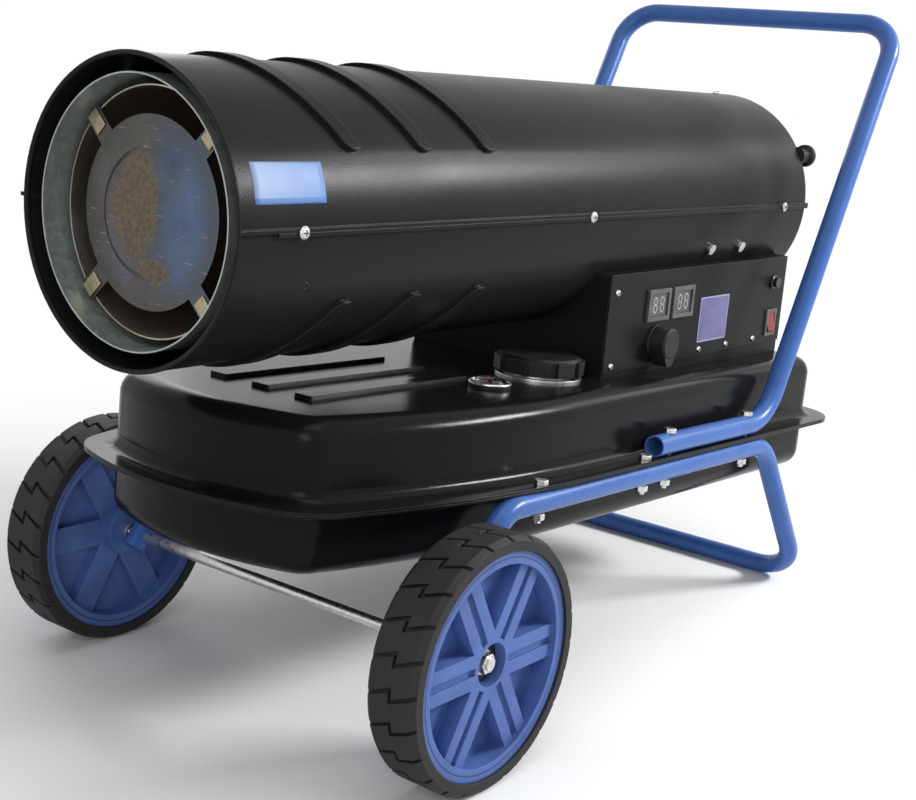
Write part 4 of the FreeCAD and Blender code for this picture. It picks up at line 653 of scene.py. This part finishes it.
digitSet = {"middles": (0.120, 0.178), "up": 0.405, "face": -0.1415, "pitch": 0.0155,
            "width": 0.0095, "height": 0.019, "bar": 0.0021, "thick": 0.0003,
            "flatGap": 1.35, "postGap": 0.85}  # what the bars' ends stay back, in half bars


def pointed(reach, half):  # one bar of a figure, with pointed ends
    inside = reach - half
    return [(-reach, 0), (-inside, -half), (inside, -half), (reach, 0), (inside, half), (-inside, half)]


def makeDigits(spec):
    wide, tall, bar = spec["width"] / 2, spec["height"] / 2, spec["bar"] / 2
    flat = pointed(wide - bar * spec["flatGap"], bar)
    post = [(-y, x) for x, y in pointed(tall / 2 - bar * spec["postGap"], bar)]
    parts = []
    for middle in spec["middles"]:
        for side in (-0.5, 0.5):
            turn = frameAt((middle + side * spec["pitch"], spec["face"], spec["up"]), (0, -1, 0))
            for rise in (bar - tall, 0, tall - bar):
                parts.append(plate([(x, y + rise) for x, y in flat], turn, 0, spec["thick"]))
            for across in (bar - wide, wide - bar):
                for rise in ((bar - tall) / 2, (tall - bar) / 2):
                    parts.append(plate([(x + across, y + rise) for x, y in post], turn, 0, spec["thick"]))
    finish = moulded("digitBars", (0.2, 0.205, 0.2), (0.32, 0.325, 0.31), 0.4, 900, depth=0.05)
    newPiece("displayDigits", *join(parts), finish, "silver_trim", smooth=False)


makeDigits(digitSet)

crossSet = {"arm": 0.0021, "half": 0.00045,
            "panel": [(0.0275, 0.425), (0.0275, 0.3395), (0.236, 0.3395), (0.308, 0.3395), (0.384, 0.3395)],
            "panelFace": -0.1418, "panelRise": 0.00016,
            "seam": (-0.502, -0.047, 0.423), "seamFace": 0.1466, "seamRise": 0.00034, "seamScale": 1.35}


def makeCrosses(spec):
    arm, half = spec["arm"], spec["half"]
    quarter = [(half, arm), (half, half), (arm, half)]
    shape = []
    for turn in range(4):  # the same corner four times round
        cos, sin = round(math.cos(turn * math.pi / 2)), round(math.sin(turn * math.pi / 2))
        shape = [(x * cos + y * sin, y * cos - x * sin) for x, y in quarter][::-1] + shape
    parts = [plate(shape, frameAt((x, spec["panelFace"], z), (0, -1, 0)), 0, spec["panelRise"])
             for x, z in spec["panel"]]
    wide = [(x * spec["seamScale"], y * spec["seamScale"]) for x, y in shape]
    for x in spec["seam"]:
        for side in (-1, 1):
            turn = frameAt((x, side * spec["seamFace"], casing["axis"]), (0, side, 0))
            parts.append(plate(wide, turn, 0, spec["seamRise"]))
    finish = moulded("slotShadow", (0.01, 0.01, 0.01), (0.025, 0.025, 0.024), 0.6)
    newPiece("screwSlots", *join(parts), finish, "zinc", smooth=False)


makeCrosses(crossSet)

studSet = {"at": (0.468, 0, 0.6525),
           "profile": [(0.0062, -0.001), (0.0062, 0.0012), (0.0052, 0.0026), (0.003, 0.0034),
                       (0.0004, 0.0037)]}


def makeStud(spec):
    turn = frameAt(spec["at"], (0, 0, 1), (1, 0, 0))
    newPiece("topScrew", *lathe(spec["profile"], turn, steps=32), finishes["zinc"], "zinc")


makeStud(studSet)

eyeletSet = {"along": -0.482, "angle": 110.7,
             "profile": [(0.0016, -0.0004), (0.0016, 0.0003), (0.0024, 0.0007), (0.0036, 0.0006),
                         (0.0042, -0.0004)]}


def makeEyelet(spec):
    at = onCasing(spec["along"], spec["angle"], casing["radius"])
    turn = frameAt(at, at - Vector((spec["along"], 0, casing["axis"])), (1, 0, 0))
    ring = lathe(spec["profile"], turn, steps=32, closed=True)
    newPiece("casingEyelet", *ring, finishes["black_plastic"], "black_plastic")


makeEyelet(eyeletSet)

gaugeSet = {"at": (-0.16, -0.104, 0.325),
            "bezel": [(0.0205, 0.0), (0.0204, 0.0022), (0.0212, 0.0031), (0.0224, 0.0029), (0.0231, 0.0018),
                      (0.0232, 0.0)],
            "dial": [(0.0172, -0.00005), (0.0172, 0.00014), (0.0165, 0.0002), (0.0035, 0.0002),
                     (0.003, 0.00012), (0.003, -0.00005)]}


def makeGauge(spec):
    turn = leanTurn @ Matrix.Translation(spec["at"])
    bezel, dial = (lathe(spec[name], turn, steps=72, closed=True) for name in ("bezel", "dial"))
    newPiece("gaugeBezel", *bezel, finishes["zinc"], "zinc")
    newPiece("gaugeDial", *dial, dialSheet(turn.translation), "silver_trim")


makeGauge(gaugeSet)

bushSet = {"face": 0.2649,
           "profile": [(0.0133, 0.0), (0.0133, 0.0009), (0.0145, 0.0013), (0.0195, 0.0013),
                       (0.0208, 0.0007), (0.0212, 0.0)]}


def makeBushes(spec):
    for body, side in (("near_wheel", -1), ("far_wheel", 1)):
        turn = frameAt((wheel["along"], side * spec["face"], wheel["up"]), (0, side, 0))
        ring = lathe(spec["profile"], turn, closed=True)
        newPiece(body + "Bush", *ring, finishes["black_plastic"], "black_plastic", body)


makeBushes(bushSet)
print("stage: pieces")
